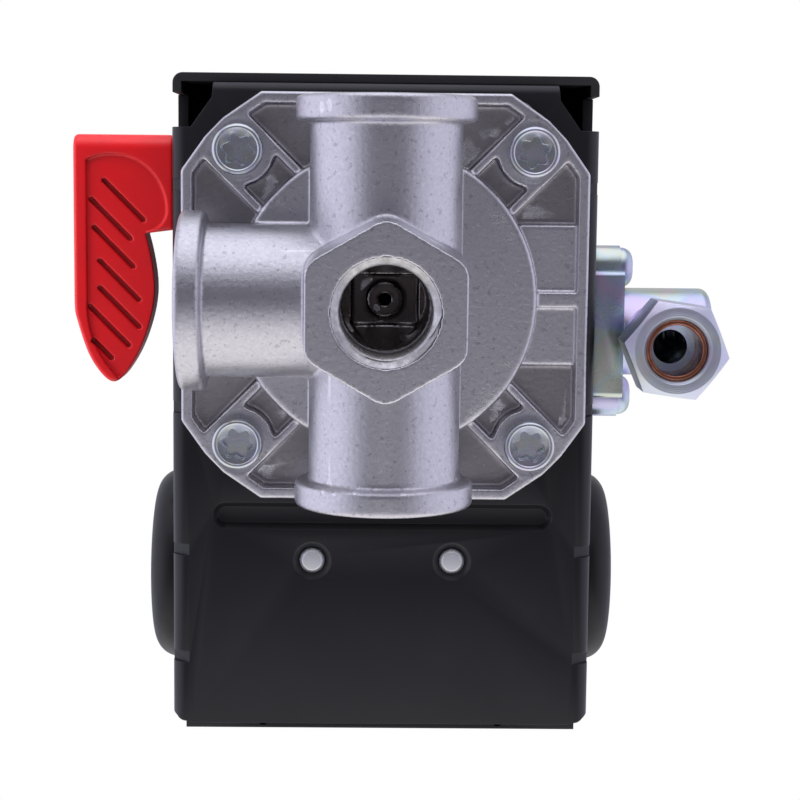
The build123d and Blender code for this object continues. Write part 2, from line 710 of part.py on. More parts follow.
with BuildPart() as unloader_screws:
    with BuildSketch(sideways(FLANGE_FACE_X)):
        with Locations((VALVE_Y - VALVE_SCREW_HALF, VALVE_Z), (VALVE_Y + VALVE_SCREW_HALF, VALVE_Z)):
            Circle(2.9)
    extrude(amount=1.9)
    fillet(unloader_screws.edges().group_by(Axis.X)[-1], radius=1.6)
    with BuildSketch(sideways(BODY_HALF - SHEET - 1.5)):
        with Locations((VALVE_Y - VALVE_SCREW_HALF, VALVE_Z), (VALVE_Y + VALVE_SCREW_HALF, VALVE_Z)):
            Circle(1.6)
    extrude(amount=FLANGE_FACE_X - BODY_HALF + SHEET + 1.5)
    with BuildSketch(sideways(FLANGE_FACE_X + 0.9)):
        with Locations((VALVE_Y - VALVE_SCREW_HALF, VALVE_Z), (VALVE_Y + VALVE_SCREW_HALF, VALVE_Z)):
            Rectangle(3.6, 0.8)
            Rectangle(0.8, 3.6)
    extrude(amount=1.2, mode=Mode.SUBTRACT)

with BuildPart() as unloader_stem:
    with BuildSketch(sideways(18.0)):
        with Locations((VALVE_Y, VALVE_Z)):
            Circle(2.0)
    extrude(amount=19.2)
    with BuildSketch(sideways(36.9)):
        with Locations((VALVE_Y, VALVE_Z)):
            Circle(3.0)
    extrude(amount=1.4)

with BuildPart() as valve_spring:
    with BuildLine() as valve_coil:
        Helix(pitch=1.5, height=5.0, radius=2.0, center=(40.3, VALVE_Y, VALVE_Z), direction=(1, 0, 0))
    with BuildSketch(Plane(origin=valve_coil.line @ 0, z_dir=valve_coil.line % 0)):
        Circle(0.3)
    sweep()

with BuildPart() as compression_nut:
    with BuildSketch(level(NUT_Z)):
        with Locations((OUTLET_X, OUTLET_Y)):
            RegularPolygon(NUT_FLATS / 2, 6, major_radius=False, rotation=NUT_TURN)
    extrude(amount=NUT_TOP_Z - NUT_Z)
    # the turned chamfer at both ends of the hexagon
    with BuildSketch(across(OUTLET_Y)):
        with BuildLine():
            Polyline(
                (OUTLET_X, NUT_Z - 1),
                (OUTLET_X + 4.4, NUT_Z - 1),
                (OUTLET_X + 8.2, NUT_Z + 1.5),
                (OUTLET_X + 8.2, NUT_TOP_Z - 1.0),
                (OUTLET_X + 5.2, NUT_TOP_Z + 0.8),
                (OUTLET_X, NUT_TOP_Z + 0.8),
                close=True,
            )
        make_face()
    revolve(axis=Axis((OUTLET_X, OUTLET_Y, 0), (0, 0, 1)), mode=Mode.INTERSECT)
    with BuildSketch(level(NUT_Z)):
        with Locations((OUTLET_X, OUTLET_Y)):
            Circle(SLEEVE_R + RUNNING)
    extrude(amount=NUT_TOP_Z - NUT_Z, mode=Mode.SUBTRACT)
    with BuildSketch(level(NUT_Z)):
        with Locations((OUTLET_X, OUTLET_Y)):
            Circle(SLEEVE_R + 0.5)
    extrude(amount=0.6, taper=40, mode=Mode.SUBTRACT)
    with BuildSketch(level(32.4)):
        with Locations((OUTLET_X, OUTLET_Y)):
            Circle(OUTLET_R + RUNNING)
    extrude(amount=NUT_TOP_Z - 32.4, mode=Mode.SUBTRACT)

with BuildPart() as tube_sleeve:
    with BuildSketch(level(NUT_Z + 0.9)):
        with Locations((OUTLET_X, OUTLET_Y)):
            Circle(SLEEVE_R)
            Circle(TUBE_R, mode=Mode.SUBTRACT)
    extrude(amount=36.2 - NUT_Z - 0.9)
    fillet(tube_sleeve.faces().sort_by(Axis.Z)[0].edges(), radius=0.25)


# ---- pressure mechanism -------------------------------------------------------------------------

PLATE_TOP_Z = PLATE_Z + PLATE_SHEET
SEAT_Z = 66.0
EAR_Z = LEVER_Z + CAM_R + 0.3

with BuildPart() as piston:
    with BuildSketch(level(BASE_Z)):
        Circle(PISTON_HOLE_R - RUNNING)
    extrude(amount=4.0)
    with BuildSketch(level(BASE_Z + 4)):
        Circle(4.0)
    extrude(amount=PLATE_Z - BASE_Z - 4.05)
    fillet(piston.faces().sort_by(Axis.Z)[-1].edges(), radius=3.4)

with BuildPart() as pivot_bracket:
    with BuildSketch(across(-17.0)):
        with Locations((0, FLOOR_Z + 7.5)):
            Rectangle(31.0, 15.0)
        with Locations((0, FLOOR_Z + 9.5)):
            Rectangle(28.0, 16.0, mode=Mode.SUBTRACT)
    extrude(amount=8.0)
    with BuildSketch(sideways(-16)):
        with Locations((PIN_Y, PIN_Z)):
            Circle(PIN_R)
    extrude(amount=32, mode=Mode.SUBTRACT)
    with BuildSketch(level(FLOOR_Z)):
        Circle(PISTON_HOLE_R + 1.0)
    extrude(amount=4, mode=Mode.SUBTRACT)

with BuildPart() as pivot_pin:
    with BuildSketch(sideways(-16.5)):
        with Locations((PIN_Y, PIN_Z)):
            Circle(PIN_R)
    extrude(amount=33)

with BuildPart() as pressure_plate:
    # plate with a tongue that lifts the contact carrier and a tab for the off lever
    with BuildSketch(level(PLATE_Z)):
        with BuildLine():
            Polyline(
                (-12.9, PIN_Y - 3.0),
                (12.9, PIN_Y - 3.0),
                (12.9, PIN_Y + 5.0),
                (14.5, PIN_Y + 5.0),
                (14.5, 23.5),
                (5.0, 25.5),
                (5.0, 35.0),
                (-5.0, 35.0),
                (-5.0, 25.5),
                (-15.5, 23.5),
                (-15.5, PIN_Y + 5.0),
                (-12.9, PIN_Y + 5.0),
                close=True,
            )
        make_face()
        with Locations((RANGE_X, STUD_Y), (DIFFERENCE_X, STUD_Y)):
            Circle(3.4, mode=Mode.SUBTRACT)
    extrude(amount=PLATE_SHEET)
    with BuildSketch(level(PLATE_Z)):
        for x in (-12.15, 12.15):
            with Locations((x, PIN_Y)):
                Rectangle(PLATE_SHEET, 6.0)
    extrude(amount=6.6)
    # ear over the lever's cam
    with BuildSketch(level(PLATE_Z)):
        with Locations((-16.2, LEVER_Y + 2.0)):
            Rectangle(1.6, 6.6)
    extrude(amount=EAR_Z + PLATE_SHEET - PLATE_Z)
    with BuildSketch(level(EAR_Z)):
        with Locations((-18.7, LEVER_Y + 2.0)):
            Rectangle(6.6, 6.6)
    extrude(amount=PLATE_SHEET)
    with BuildSketch(sideways(-14)):
        with Locations((PIN_Y, PIN_Z)):
            Circle(PIN_R + RUNNING)
    extrude(amount=28, mode=Mode.SUBTRACT)
    with BuildSketch(level(PLATE_Z)):
        with Locations((0, PIN_Y)):
            Rectangle(22.8, 2 * PIN_R + 2.2)
    extrude(amount=4, mode=Mode.SUBTRACT)

with BuildPart() as spring_studs:
    for x in (RANGE_X, DIFFERENCE_X):
        with BuildSketch(level(BASE_Z)):
            with Locations((x, STUD_Y)):
                Circle(2.0)
        extrude(amount=82.0 - BASE_Z)
        with BuildSketch(level(FLOOR_Z)):
            with Locations((x, STUD_Y)):
                Circle(3.2)
        extrude(amount=1.6)

with BuildPart() as range_spring:
    with BuildLine() as range_coil:
        Helix(
            pitch=3.4,
            height=SEAT_Z - PLATE_TOP_Z - 2 * 0.8,
            radius=6.0,
            center=(RANGE_X, STUD_Y, PLATE_TOP_Z + 0.8),
        )
    with BuildSketch(Plane(origin=range_coil.line @ 0, z_dir=range_coil.line % 0)):
        Circle(0.75)
    sweep()

with BuildPart() as difference_spring:
    with BuildLine() as difference_coil:
        Helix(
            pitch=2.6,
            height=SEAT_Z - PLATE_TOP_Z - 2 * 0.55,
            radius=4.3,
            center=(DIFFERENCE_X, STUD_Y, PLATE_TOP_Z + 0.55),
        )
    with BuildSketch(Plane(origin=difference_coil.line @ 0, z_dir=difference_coil.line % 0)):
        Circle(0.5)
    sweep()

with BuildPart() as spring_seats:
    for x, radius in ((RANGE_X, 7.4), (DIFFERENCE_X, 5.6)):
        with BuildSketch(level(SEAT_Z)):
            with Locations((x, STUD_Y)):
                Circle(radius)
                Circle(2.05, mode=Mode.SUBTRACT)
        extrude(amount=1.5)

with BuildPart() as range_nut:
    with BuildSketch(level(SEAT_Z + 1.55)):
        with Locations((RANGE_X, STUD_Y)):
            RegularPolygon(5.0, 6, major_radius=False)
            Circle(2.0 + RUNNING, mode=Mode.SUBTRACT)
    extrude(amount=5.0)

with BuildPart() as difference_nut:
    with BuildSketch(level(SEAT_Z + 1.55)):
        with Locations((DIFFERENCE_X, STUD_Y)):
            RegularPolygon(3.5, 6, major_radius=False)
            Circle(2.0 + RUNNING, mode=Mode.SUBTRACT)
    extrude(amount=3.2)


# ---- contacts -----------------------------------------------------------------------------------

CARRIER_FRONT_Y = 30.6
CARRIER_BACK_Y = 36.4
CARRIER_Z = PLATE_TOP_Z + 0.25
BAR_Z = 60.0
PLATE_TOP = DECK_Z + 1.2
BUTTON_TOP = PLATE_TOP + 0.9
BRIDGE_Z = BUTTON_TOP + 0.65

with BuildPart() as contact_block:
    with BuildSketch(level(BLOCK_Z)) as block_plan:
        with Locations((0, (BLOCK_FRONT_Y + BLOCK_BACK_Y) / 2)):
            Rectangle(2 * BLOCK_HALF, BLOCK_BACK_Y - BLOCK_FRONT_Y)
        fillet(block_plan.vertices(), radius=1.0)
    extrude(amount=DECK_Z - BLOCK_Z)
    # barriers between the poles
    with BuildSketch(level(DECK_Z)):
        for x in (-24.0, -15.5, -7.0, 7.0, 15.5, 24.0):
            with Locations((x, 47.0)):
                Rectangle(1.0, 19.0)
        with Locations((0, 56.0)):
            Rectangle(2 * BLOCK_HALF, 1.0)
    extrude(amount=BARRIER_Z - DECK_Z)
    # feet round the two fixing screws
    with BuildSketch(level(FLOOR_Z)):
        with Locations((-BLOCK_SCREW_X, BLOCK_SCREW_Y), (BLOCK_SCREW_X, BLOCK_SCREW_Y)):
            Circle(3.2)
    extrude(amount=BLOCK_Z - FLOOR_Z)
    # guide slot for the contact carrier and the plate's tongue
    with BuildSketch(level(BLOCK_Z)):
        with Locations((0, (BLOCK_FRONT_Y + CARRIER_BACK_Y + RUNNING) / 2)):
            Rectangle(11.3, CARRIER_BACK_Y + RUNNING - BLOCK_FRONT_Y)
    extrude(amount=DECK_Z - BLOCK_Z, mode=Mode.SUBTRACT)
    # holes: fixing screws and terminal screws
    with BuildSketch(level(FLOOR_Z)):
        with Locations((-BLOCK_SCREW_X, BLOCK_SCREW_Y), (BLOCK_SCREW_X, BLOCK_SCREW_Y)):
            Circle(1.8)
    extrude(amount=DECK_Z - FLOOR_Z, mode=Mode.SUBTRACT)
    with BuildSketch(level(50.0)):
        with Locations((-BLOCK_SCREW_X, BLOCK_SCREW_Y), (BLOCK_SCREW_X, BLOCK_SCREW_Y)):
            Circle(3.1)
    extrude(amount=DECK_Z - 50.0, mode=Mode.SUBTRACT)
    with BuildSketch(level(44.0)):
        for x in POLES_X:
            with Locations((x, 48.0)):
                Circle(1.75)
    extrude(amount=DECK_Z - 44.0, mode=Mode.SUBTRACT)

with BuildPart() as block_screws:
    with BuildSketch(level(BASE_Z + 0.1)):
        with Locations((-BLOCK_SCREW_X, BLOCK_SCREW_Y), (BLOCK_SCREW_X, BLOCK_SCREW_Y)):
            Circle(1.8)
    extrude(amount=50.0 - BASE_Z - 0.1)
    chamfer(block_screws.edges().group_by(Axis.Z)[0], length=0.5)
    with BuildSketch(level(50.0)):
        with Locations((-BLOCK_SCREW_X, BLOCK_SCREW_Y), (BLOCK_SCREW_X, BLOCK_SCREW_Y)):
            Circle(2.9)
    extrude(amount=2.4)

with BuildPart() as terminal_plates:
    for x in POLES_X:
        with BuildSketch(level(DECK_Z)):
            with Locations((x, 43.0)):
                Rectangle(6.4, 22.0)
            with Locations((x, 48.0)):
                Circle(1.75, mode=Mode.SUBTRACT)
        extrude(amount=PLATE_TOP - DECK_Z)

with BuildPart() as fixed_contacts:
    with BuildSketch(level(PLATE_TOP)):
        with Locations(*[(x, CONTACT_Y) for x in POLES_X]):
            Circle(1.6)
    extrude(amount=BUTTON_TOP - PLATE_TOP)

with BuildPart() as terminal_washers:
    for x in POLES_X:
        with BuildSketch(level(PLATE_TOP)):
            with Locations((x, 48.0)):
                RectangleRounded(6.6, 7.0, 0.6)
                Circle(1.75, mode=Mode.SUBTRACT)
        extrude(amount=1.0)

with BuildPart() as terminal_screws:
    screw_places = [(x, 48.0) for x in POLES_X]
    with BuildSketch(level(PLATE_TOP + 1.0)):
        with Locations(*screw_places):
            Circle(3.1)
    extrude(amount=2.4)
    with BuildSketch(level(PLATE_TOP + 1.0)):
        with Locations(*screw_places):
            Circle(1.75)
    extrude(amount=-11.0)
    with BuildSketch(level(PLATE_TOP + 2.2)):
        with Locations(*screw_places):
            Rectangle(4.4, 0.8)
            Rectangle(0.8, 4.4)
    extrude(amount=1.4, mode=Mode.SUBTRACT)

with BuildPart() as contact_carrier:
    with BuildSketch(level(CARRIER_Z)):
        with Locations((0, (CARRIER_FRONT_Y + CARRIER_BACK_Y) / 2)):
            Rectangle(11.2, CARRIER_BACK_Y - CARRIER_FRONT_Y)
    extrude(amount=BAR_Z - CARRIER_Z)
    with BuildSketch(level(BAR_Z)):
        with Locations((0, (CARRIER_FRONT_Y + CARRIER_BACK_Y) / 2)):
            Rectangle(46.0, 4.6)
    extrude(amount=4.0)

with BuildPart() as contact_bridges:
    with BuildSketch(level(BRIDGE_Z)):
        for x in (-15.5, 15.5):
            with Locations((x, CONTACT_Y)):
                Rectangle(13.0, 3.6)
    extrude(amount=1.0)
    with BuildSketch(level(BRIDGE_Z)):
        with Locations(*[(x, CONTACT_Y) for x in POLES_X]):
            Circle(1.6)
    extrude(amount=-0.6)

with BuildPart() as bridge_springs:
    for x in (-15.5, 15.5):
        with BuildLine() as bridge_coil:
            Helix(
                pitch=0.9,
                height=BAR_Z - BRIDGE_Z - 1.0 - 0.5,
                radius=1.6,
                center=(x, CONTACT_Y, BRIDGE_Z + 1.25),
            )
        with BuildSketch(Plane(origin=bridge_coil.line @ 0, z_dir=bridge_coil.line % 0)):
            Circle(0.25)
        sweep()


# ---- labels and files ---------------------------------------------------------------------------

PIECES = {
    "manifold": manifold,
    "manifold_screws": manifold_screws,
    "diaphragm": diaphragm,
    "base_frame": base_frame,
    "left_wall": left_wall,
    "right_wall": right_wall,
    "ground_screw": ground_screw,
    "cover": cover,
    "cover_label": cover_label,
    "cover_screws": cover_screws,
    "cover_posts": cover_posts,
    "off_lever": off_lever,
    "lever_shaft": lever_shaft,
    "lever_cam": lever_cam,
    "lever_ring": lever_ring,
    "left_bushing": left_bushing,
    "right_bushing": right_bushing,
    "bushing_nuts": bushing_nuts,
    "unloader_gasket": unloader_gasket,
    "unloader_body": unloader_body,
    "unloader_screws": unloader_screws,
    "unloader_stem": unloader_stem,
    "valve_spring": valve_spring,
    "compression_nut": compression_nut,
    "tube_sleeve": tube_sleeve,
    "piston": piston,
    "pivot_bracket": pivot_bracket,
    "pivot_pin": pivot_pin,
    "pressure_plate": pressure_plate,
    "spring_studs": spring_studs,
    "range_spring": range_spring,
    "difference_spring": difference_spring,
    "spring_seats": spring_seats,
    "range_nut": range_nut,
    "difference_nut": difference_nut,
    "contact_block": contact_block,
    "block_screws": block_screws,
    "terminal_plates": terminal_plates,
    "fixed_contacts": fixed_contacts,
    "terminal_washers": terminal_washers,
    "terminal_screws": terminal_screws,
    "contact_carrier": contact_carrier,
    "contact_bridges": contact_bridges,
    "bridge_springs": bridge_springs,
}

for label, piece in PIECES.items():
    piece.part.label = label
    export_step(piece.part, f"parts/{label}.step")
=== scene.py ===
"""Looks for an air-compressor pressure switch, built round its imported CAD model.

The frame is the CAD's: metres, the origin at the mouth of the inlet port, +Z up into the switch,
-Y the front. The switch is pictured from underneath, so the floor is one-sided: the camera below
looks up through it as through a glass table, and every other view stands on a plain pale floor.
"""

from __future__ import annotations

import json
import logging
import math
from dataclasses import dataclass
from enum import Enum

import bmesh
import bpy
from mathutils import Matrix, Vector

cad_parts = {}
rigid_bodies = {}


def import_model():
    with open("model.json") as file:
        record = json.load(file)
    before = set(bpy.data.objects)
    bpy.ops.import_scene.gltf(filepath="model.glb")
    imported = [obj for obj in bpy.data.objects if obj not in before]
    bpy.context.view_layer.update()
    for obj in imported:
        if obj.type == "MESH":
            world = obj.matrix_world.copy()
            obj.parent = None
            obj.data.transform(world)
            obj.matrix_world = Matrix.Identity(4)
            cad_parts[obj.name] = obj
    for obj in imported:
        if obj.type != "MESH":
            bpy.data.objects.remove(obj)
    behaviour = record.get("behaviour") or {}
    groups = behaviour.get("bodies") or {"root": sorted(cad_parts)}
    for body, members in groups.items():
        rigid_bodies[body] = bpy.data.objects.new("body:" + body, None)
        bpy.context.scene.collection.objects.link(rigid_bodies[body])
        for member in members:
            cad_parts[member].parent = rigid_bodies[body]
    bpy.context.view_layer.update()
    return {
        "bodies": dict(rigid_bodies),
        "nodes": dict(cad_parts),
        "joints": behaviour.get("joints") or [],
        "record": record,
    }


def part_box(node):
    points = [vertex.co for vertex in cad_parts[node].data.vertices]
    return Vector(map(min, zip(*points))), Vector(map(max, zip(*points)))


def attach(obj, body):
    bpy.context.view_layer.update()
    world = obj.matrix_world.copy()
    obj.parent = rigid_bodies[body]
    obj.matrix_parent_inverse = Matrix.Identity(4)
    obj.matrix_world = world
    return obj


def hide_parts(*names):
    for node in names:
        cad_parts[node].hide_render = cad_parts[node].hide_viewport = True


LOG = logging.getLogger("pressure_switch")
MM = 0.001
Colour = tuple[float, float, float]


# ---- node trees ---------------------------------------------------------------------------------


class Graph:
    """A small hand for wiring node trees: one call places a node, fills it and links it."""

    def __init__(self, tree: bpy.types.NodeTree) -> None:
        """Wraps a tree.

        Args:
            tree: the shader or geometry tree to build in.
        """
        self.tree = tree

    def node(self, kind: str, inputs: dict | None = None, **settings: object) -> bpy.types.Node:
        """Places one node.

        Args:
            kind: the node's Blender type name.
            inputs: socket name or number to a value, or to the output socket to link from.
            settings: attributes of the node, such as operation="ADD".

        Returns:
            The new node.
        """
        made = self.tree.nodes.new(kind)
        for key, value in settings.items():
            setattr(made, key, value)
        for key, value in (inputs or {}).items():
            if isinstance(value, bpy.types.NodeSocket):
                self.tree.links.new(value, made.inputs[key])
            else:
                made.inputs[key].default_value = value
        return made

    def math(self, operation: str, *values: object) -> bpy.types.NodeSocket:
        """Places a Math node and returns its result.

        Args:
            operation: the Math node's operation.
            values: its inputs in order, numbers or sockets.

        Returns:
            The node's output socket.
        """
        return self.node("ShaderNodeMath", dict(enumerate(values)), operation=operation).outputs[0]

    def mix(self, factor: object, low: object, high: object) -> bpy.types.NodeSocket:
        """Mixes two colours.

        Args:
            factor: the share of high, a number or a socket.
            low: colour or socket at factor 0.
            high: colour or socket at factor 1.

        Returns:
            The mixed colour's socket.
        """
        made = self.node("ShaderNodeMix", data_type="RGBA")
        for socket, value in ((0, factor), (6, rgba(low)), (7, rgba(high))):
            if isinstance(value, bpy.types.NodeSocket):
                self.tree.links.new(value, made.inputs[socket])
            else:
                made.inputs[socket].default_value = value
        return made.outputs[2]

    def spread(
        self, value: object, low: object, high: object, span: tuple[float, float] = (0.0, 1.0)
    ) -> bpy.types.NodeSocket:
        """Maps low..high to a span, clamped.

        Args:
            value: the socket to map.
            low: the input, a number or a socket, that gives the span's first number.
            high: the input that gives the span's second number.
            span: the two output numbers.

        Returns:
            The mapped value's socket.
        """
        inputs = {0: value, 1: low, 2: high, 3: span[0], 4: span[1]}
        return self.node("ShaderNodeMapRange", inputs).outputs[0]

    def feed(self, node: bpy.types.Node, **outputs: bpy.types.NodeSocket) -> None:
        """Links outputs to a node's inputs, named with underscores for spaces."""
        for name, output in outputs.items():
            self.tree.links.new(output, node.inputs[name.replace("_", " ")])

    def vector(self, operation: str, *values: object) -> bpy.types.Node:
        """Places a Vector Math node.

        Args:
            operation: the node's operation.
            values: its inputs in order, vectors or sockets.

        Returns:
            The node.
        """
        inputs = dict(enumerate(values))
        return self.node("ShaderNodeVectorMath", inputs, operation=operation)


def blank(owner: bpy.types.ID) -> Graph:
    """Gives a material or a world an empty node tree."""
    owner.use_nodes = True
    owner.node_tree.nodes.clear()
    return Graph(owner.node_tree)


def rgba(colour: object) -> object:
    """Adds alpha to a plain colour, and leaves a socket as it is."""
    if isinstance(colour, tuple) and len(colour) == 3:
        return (*colour, 1.0)
    return colour


class Effect(Enum):
    """The shared surface effects, each a shader node group."""

    GRAIN = "surface_grain"
    MOTTLE = "colour_mottle"
    DIMPLES = "tumbled_dimples"
    TURNING = "turning_marks"
    SPECKS = "fine_specks"
    WORN_EDGES = "worn_edges"
    PLATING = "passivate_film"
    HOLLOWS = "hollow_shade"
    DEEP_BORE = "bore_shade"


class Effects:
    """Builds each effect's node group once and places it in materials."""

    def __init__(self) -> None:
        """Starts with no groups."""
        self.groups: dict[Effect, bpy.types.NodeTree] = {}

    def place(self, graph: Graph, effect: Effect, **inputs: object) -> bpy.types.Node:
        """Places an effect in a material.

        Args:
            graph: the material's graph.
            effect: which effect.
            inputs: the group's inputs by name, with underscores for spaces.

        Returns:
            The group node.
        """
        if effect not in self.groups:
            self.groups[effect] = getattr(self, "_" + effect.name.lower())()
        made = graph.tree.nodes.new("ShaderNodeGroup")
        made.node_tree = self.groups[effect]
        for key, value in inputs.items():
            socket = made.inputs[key.replace("_", " ")]
            if isinstance(value, bpy.types.NodeSocket):
                graph.tree.links.new(value, socket)
            else:
                socket.default_value = rgba(value) if socket.type == "RGBA" else value
        return made

    @staticmethod
    def _group(
        effect: Effect, inputs: dict[str, object], outputs: dict[str, str]
    ) -> tuple[Graph, object, bpy.types.Node]:
        """Makes an empty group with its interface.

        Args:
            effect: the effect that names the group.
            inputs: input name to default; a number, a three-vector or a colour.
            outputs: output name to socket type.

        Returns:
            The graph, the group's input node and its output node.
        """
        tree = bpy.data.node_groups.new(effect.value, "ShaderNodeTree")
        for name, default in inputs.items():
            kind = "NodeSocketFloat"
            if isinstance(default, tuple):
                kind = "NodeSocketColor" if len(default) == 4 else "NodeSocketVector"
            socket = tree.interface.new_socket(name, in_out="INPUT", socket_type=kind)
            socket.default_value = default
        for name, kind in outputs.items():
            tree.interface.new_socket(name, in_out="OUTPUT", socket_type=kind)
        return Graph(tree), tree.nodes.new("NodeGroupInput"), tree.nodes.new("NodeGroupOutput")

    @staticmethod
    def _place_and_scale(graph: Graph, size_mm: object) -> tuple[object, object]:
        """Object coordinates, and the texture scale whose features are size_mm wide."""
        where = graph.node("ShaderNodeTexCoord").outputs["Object"]
        return where, graph.math("DIVIDE", 1000.0, size_mm)

    def _grain(self) -> bpy.types.NodeTree:
        """Fine bumps of one size, with a softer octave under them."""
        graph, given, out = self._group(
            Effect.GRAIN, {"Size": 0.3, "Detail": 3.0}, {"Height": "NodeSocketFloat"}
        )
        where, scale = self._place_and_scale(graph, given.outputs["Size"])
        inputs = {"Vector": where, "Scale": scale, "Detail": given.outputs["Detail"]}
        noise = graph.node("ShaderNodeTexNoise", {**inputs, "Roughness": 0.6})
        graph.feed(out, Height=noise.outputs["Fac"])
        return graph.tree

    def _mottle(self) -> bpy.types.NodeTree:
        """Two tones of one colour in soft patches, and the patches' mask."""
        defaults = {"Light": (1.0, 1.0, 1.0, 1.0), "Dark": (0.5, 0.5, 0.5, 1.0), "Size": 6.0}
        outputs = {"Colour": "NodeSocketColor", "Mask": "NodeSocketFloat"}
        graph, given, out = self._group(Effect.MOTTLE, defaults, outputs)
        where, scale = self._place_and_scale(graph, given.outputs["Size"])
        inputs = {"Vector": where, "Scale": scale, "Detail": 5.0, "Roughness": 0.62}
        noise = graph.node("ShaderNodeTexNoise", {**inputs, "Distortion": 0.4})
        mask = graph.spread(noise.outputs["Fac"], 0.34, 0.66)
        colour = graph.mix(mask, given.outputs["Dark"], given.outputs["Light"])
        graph.feed(out, Colour=colour)
        graph.feed(out, Mask=mask)
        return graph.tree

    def _dimples(self) -> bpy.types.NodeTree:
        """The hammered look that tumbling gives a casting: shallow overlapping dents."""
        outputs = {"Height": "NodeSocketFloat", "Pits": "NodeSocketFloat"}
        graph, given, out = self._group(Effect.DIMPLES, {"Size": 0.5, "Pit Share": 0.3}, outputs)
        where, scale = self._place_and_scale(graph, given.outputs["Size"])
        warp = graph.node("ShaderNodeTexNoise", {"Vector": where, "Scale": scale, "Detail": 2.0})
        drift = graph.vector("SCALE", warp.outputs["Color"])
        graph.tree.links.new(graph.math("MULTIPLY", given.outputs["Size"], 0.0008), drift.inputs[3])
        moved = graph.vector("ADD", where, drift.outputs[0])
        cells = graph.node(
            "ShaderNodeTexVoronoi",
            {"Vector": moved.outputs[0], "Scale": scale},
            feature="SMOOTH_F1",
        )
        fine_scale = graph.math("MULTIPLY", scale, 2.7)
        finer = {"Vector": where, "Scale": fine_scale, "Detail": 4.0}
        fine = graph.node("ShaderNodeTexNoise", finer)
        height = graph.math("MULTIPLY_ADD", fine.outputs["Fac"], 0.55, cells.outputs["Distance"])
        sparse = graph.node(
            "ShaderNodeTexNoise",
            {"Vector": where, "Scale": graph.math("MULTIPLY", scale, 0.8), "Detail": 6.0},
        )
        edge = graph.math("SUBTRACT", 0.78, given.outputs["Pit Share"])
        pits = graph.math("GREATER_THAN", sparse.outputs["Fac"], edge)
        graph.feed(out, Height=height)
        graph.feed(out, Pits=pits)
        return graph.tree

    def _turning(self) -> bpy.types.NodeTree:
        """Rings cut by a lathe tool round a centre, seen on a face across its axis."""
        defaults = {"Centre": (0.0, 0.0, 0.0), "Axis Mask": (1.0, 1.0, 0.0), "Pitch": 0.3}
        graph, given, out = self._group(Effect.TURNING, defaults, {"Height": "NodeSocketFloat"})
        where = graph.node("ShaderNodeTexCoord").outputs["Object"]
        off = graph.vector("SUBTRACT", where, given.outputs["Centre"])
        flat = graph.vector("MULTIPLY", off.outputs[0], given.outputs["Axis Mask"])
        radius = graph.vector("LENGTH", flat.outputs[0])
        pitch = graph.math("MULTIPLY", given.outputs["Pitch"], MM)
        turns = graph.math("DIVIDE", radius.outputs[1], pitch)
        wave = graph.math("SINE", graph.math("MULTIPLY", turns, 2 * math.pi))
        graph.feed(out, Height=graph.spread(wave, -1.0, 1.0))
        return graph.tree

    def _specks(self) -> bpy.types.NodeTree:
        """Sparse round specks, such as dust under paint."""
        outputs = {"Mask": "NodeSocketFloat"}
        graph, given, out = self._group(Effect.SPECKS, {"Spacing": 6.0, "Speck": 0.02}, outputs)
        where, scale = self._place_and_scale(graph, given.outputs["Spacing"])
        cells = graph.node("ShaderNodeTexVoronoi", {"Vector": where, "Scale": scale})
        mask = graph.math("LESS_THAN", cells.outputs["Distance"], given.outputs["Speck"])
        graph.feed(out, Mask=mask)
        return graph.tree

    def _worn_edges(self) -> bpy.types.NodeTree:
        """Where convex edges are rubbed bright, broken up by noise."""
        outputs = {"Mask": "NodeSocketFloat"}
        graph, given, out = self._group(Effect.WORN_EDGES, {"Start": 0.52, "End": 0.565}, outputs)
        shape = graph.node("ShaderNodeNewGeometry").outputs["Pointiness"]
        where, scale = self._place_and_scale(graph, 1.5)
        patchy = graph.node("ShaderNodeTexNoise", {"Vector": where, "Scale": scale, "Detail": 3.0})
        ridge = graph.spread(shape, given.outputs["Start"], given.outputs["End"])
        share = graph.spread(patchy.outputs["Fac"], 0.3, 0.6, (0.2, 1.0))
        mask = graph.math("MULTIPLY", ridge, share)
        graph.feed(out, Mask=mask)
        return graph.tree

    def _plating(self) -> bpy.types.NodeTree:
        """Zinc passivate: one metal in drifting lilac, blue, green and straw tints."""
        outputs = {"Colour": "NodeSocketColor", "Patches": "NodeSocketFloat"}
        defaults = {"Size": 9.0, "Strength": 1.0, "Metal": (0.8, 0.8, 0.85, 1.0)}
        graph, given, out = self._group(Effect.PLATING, defaults, outputs)
        where, scale = self._place_and_scale(graph, given.outputs["Size"])
        inputs = {"Vector": where, "Scale": scale, "Detail": 3.0, "Distortion": 1.2}
        noise = graph.node("ShaderNodeTexNoise", inputs)
        ramp = graph.node("ShaderNodeValToRGB", {"Fac": noise.outputs["Fac"]})
        tints = [
            (0.34, (0.80, 0.66, 0.90, 1.0)),
            (0.44, (0.62, 0.70, 0.93, 1.0)),
            (0.52, (0.66, 0.84, 0.86, 1.0)),
            (0.60, (0.76, 0.84, 0.64, 1.0)),
            (0.70, (0.90, 0.74, 0.82, 1.0)),
        ]
        ramp.color_ramp.elements[0].position, ramp.color_ramp.elements[0].color = tints[0]
        ramp.color_ramp.elements[1].position, ramp.color_ramp.elements[1].color = tints[-1]
        for position, tint in tints[1:-1]:
            ramp.color_ramp.elements.new(position).color = tint
        colour = graph.mix(given.outputs["Strength"], given.outputs["Metal"], ramp.outputs["Color"])
        graph.feed(out, Colour=colour)
        graph.feed(out, Patches=noise.outputs["Fac"])
        return graph.tree


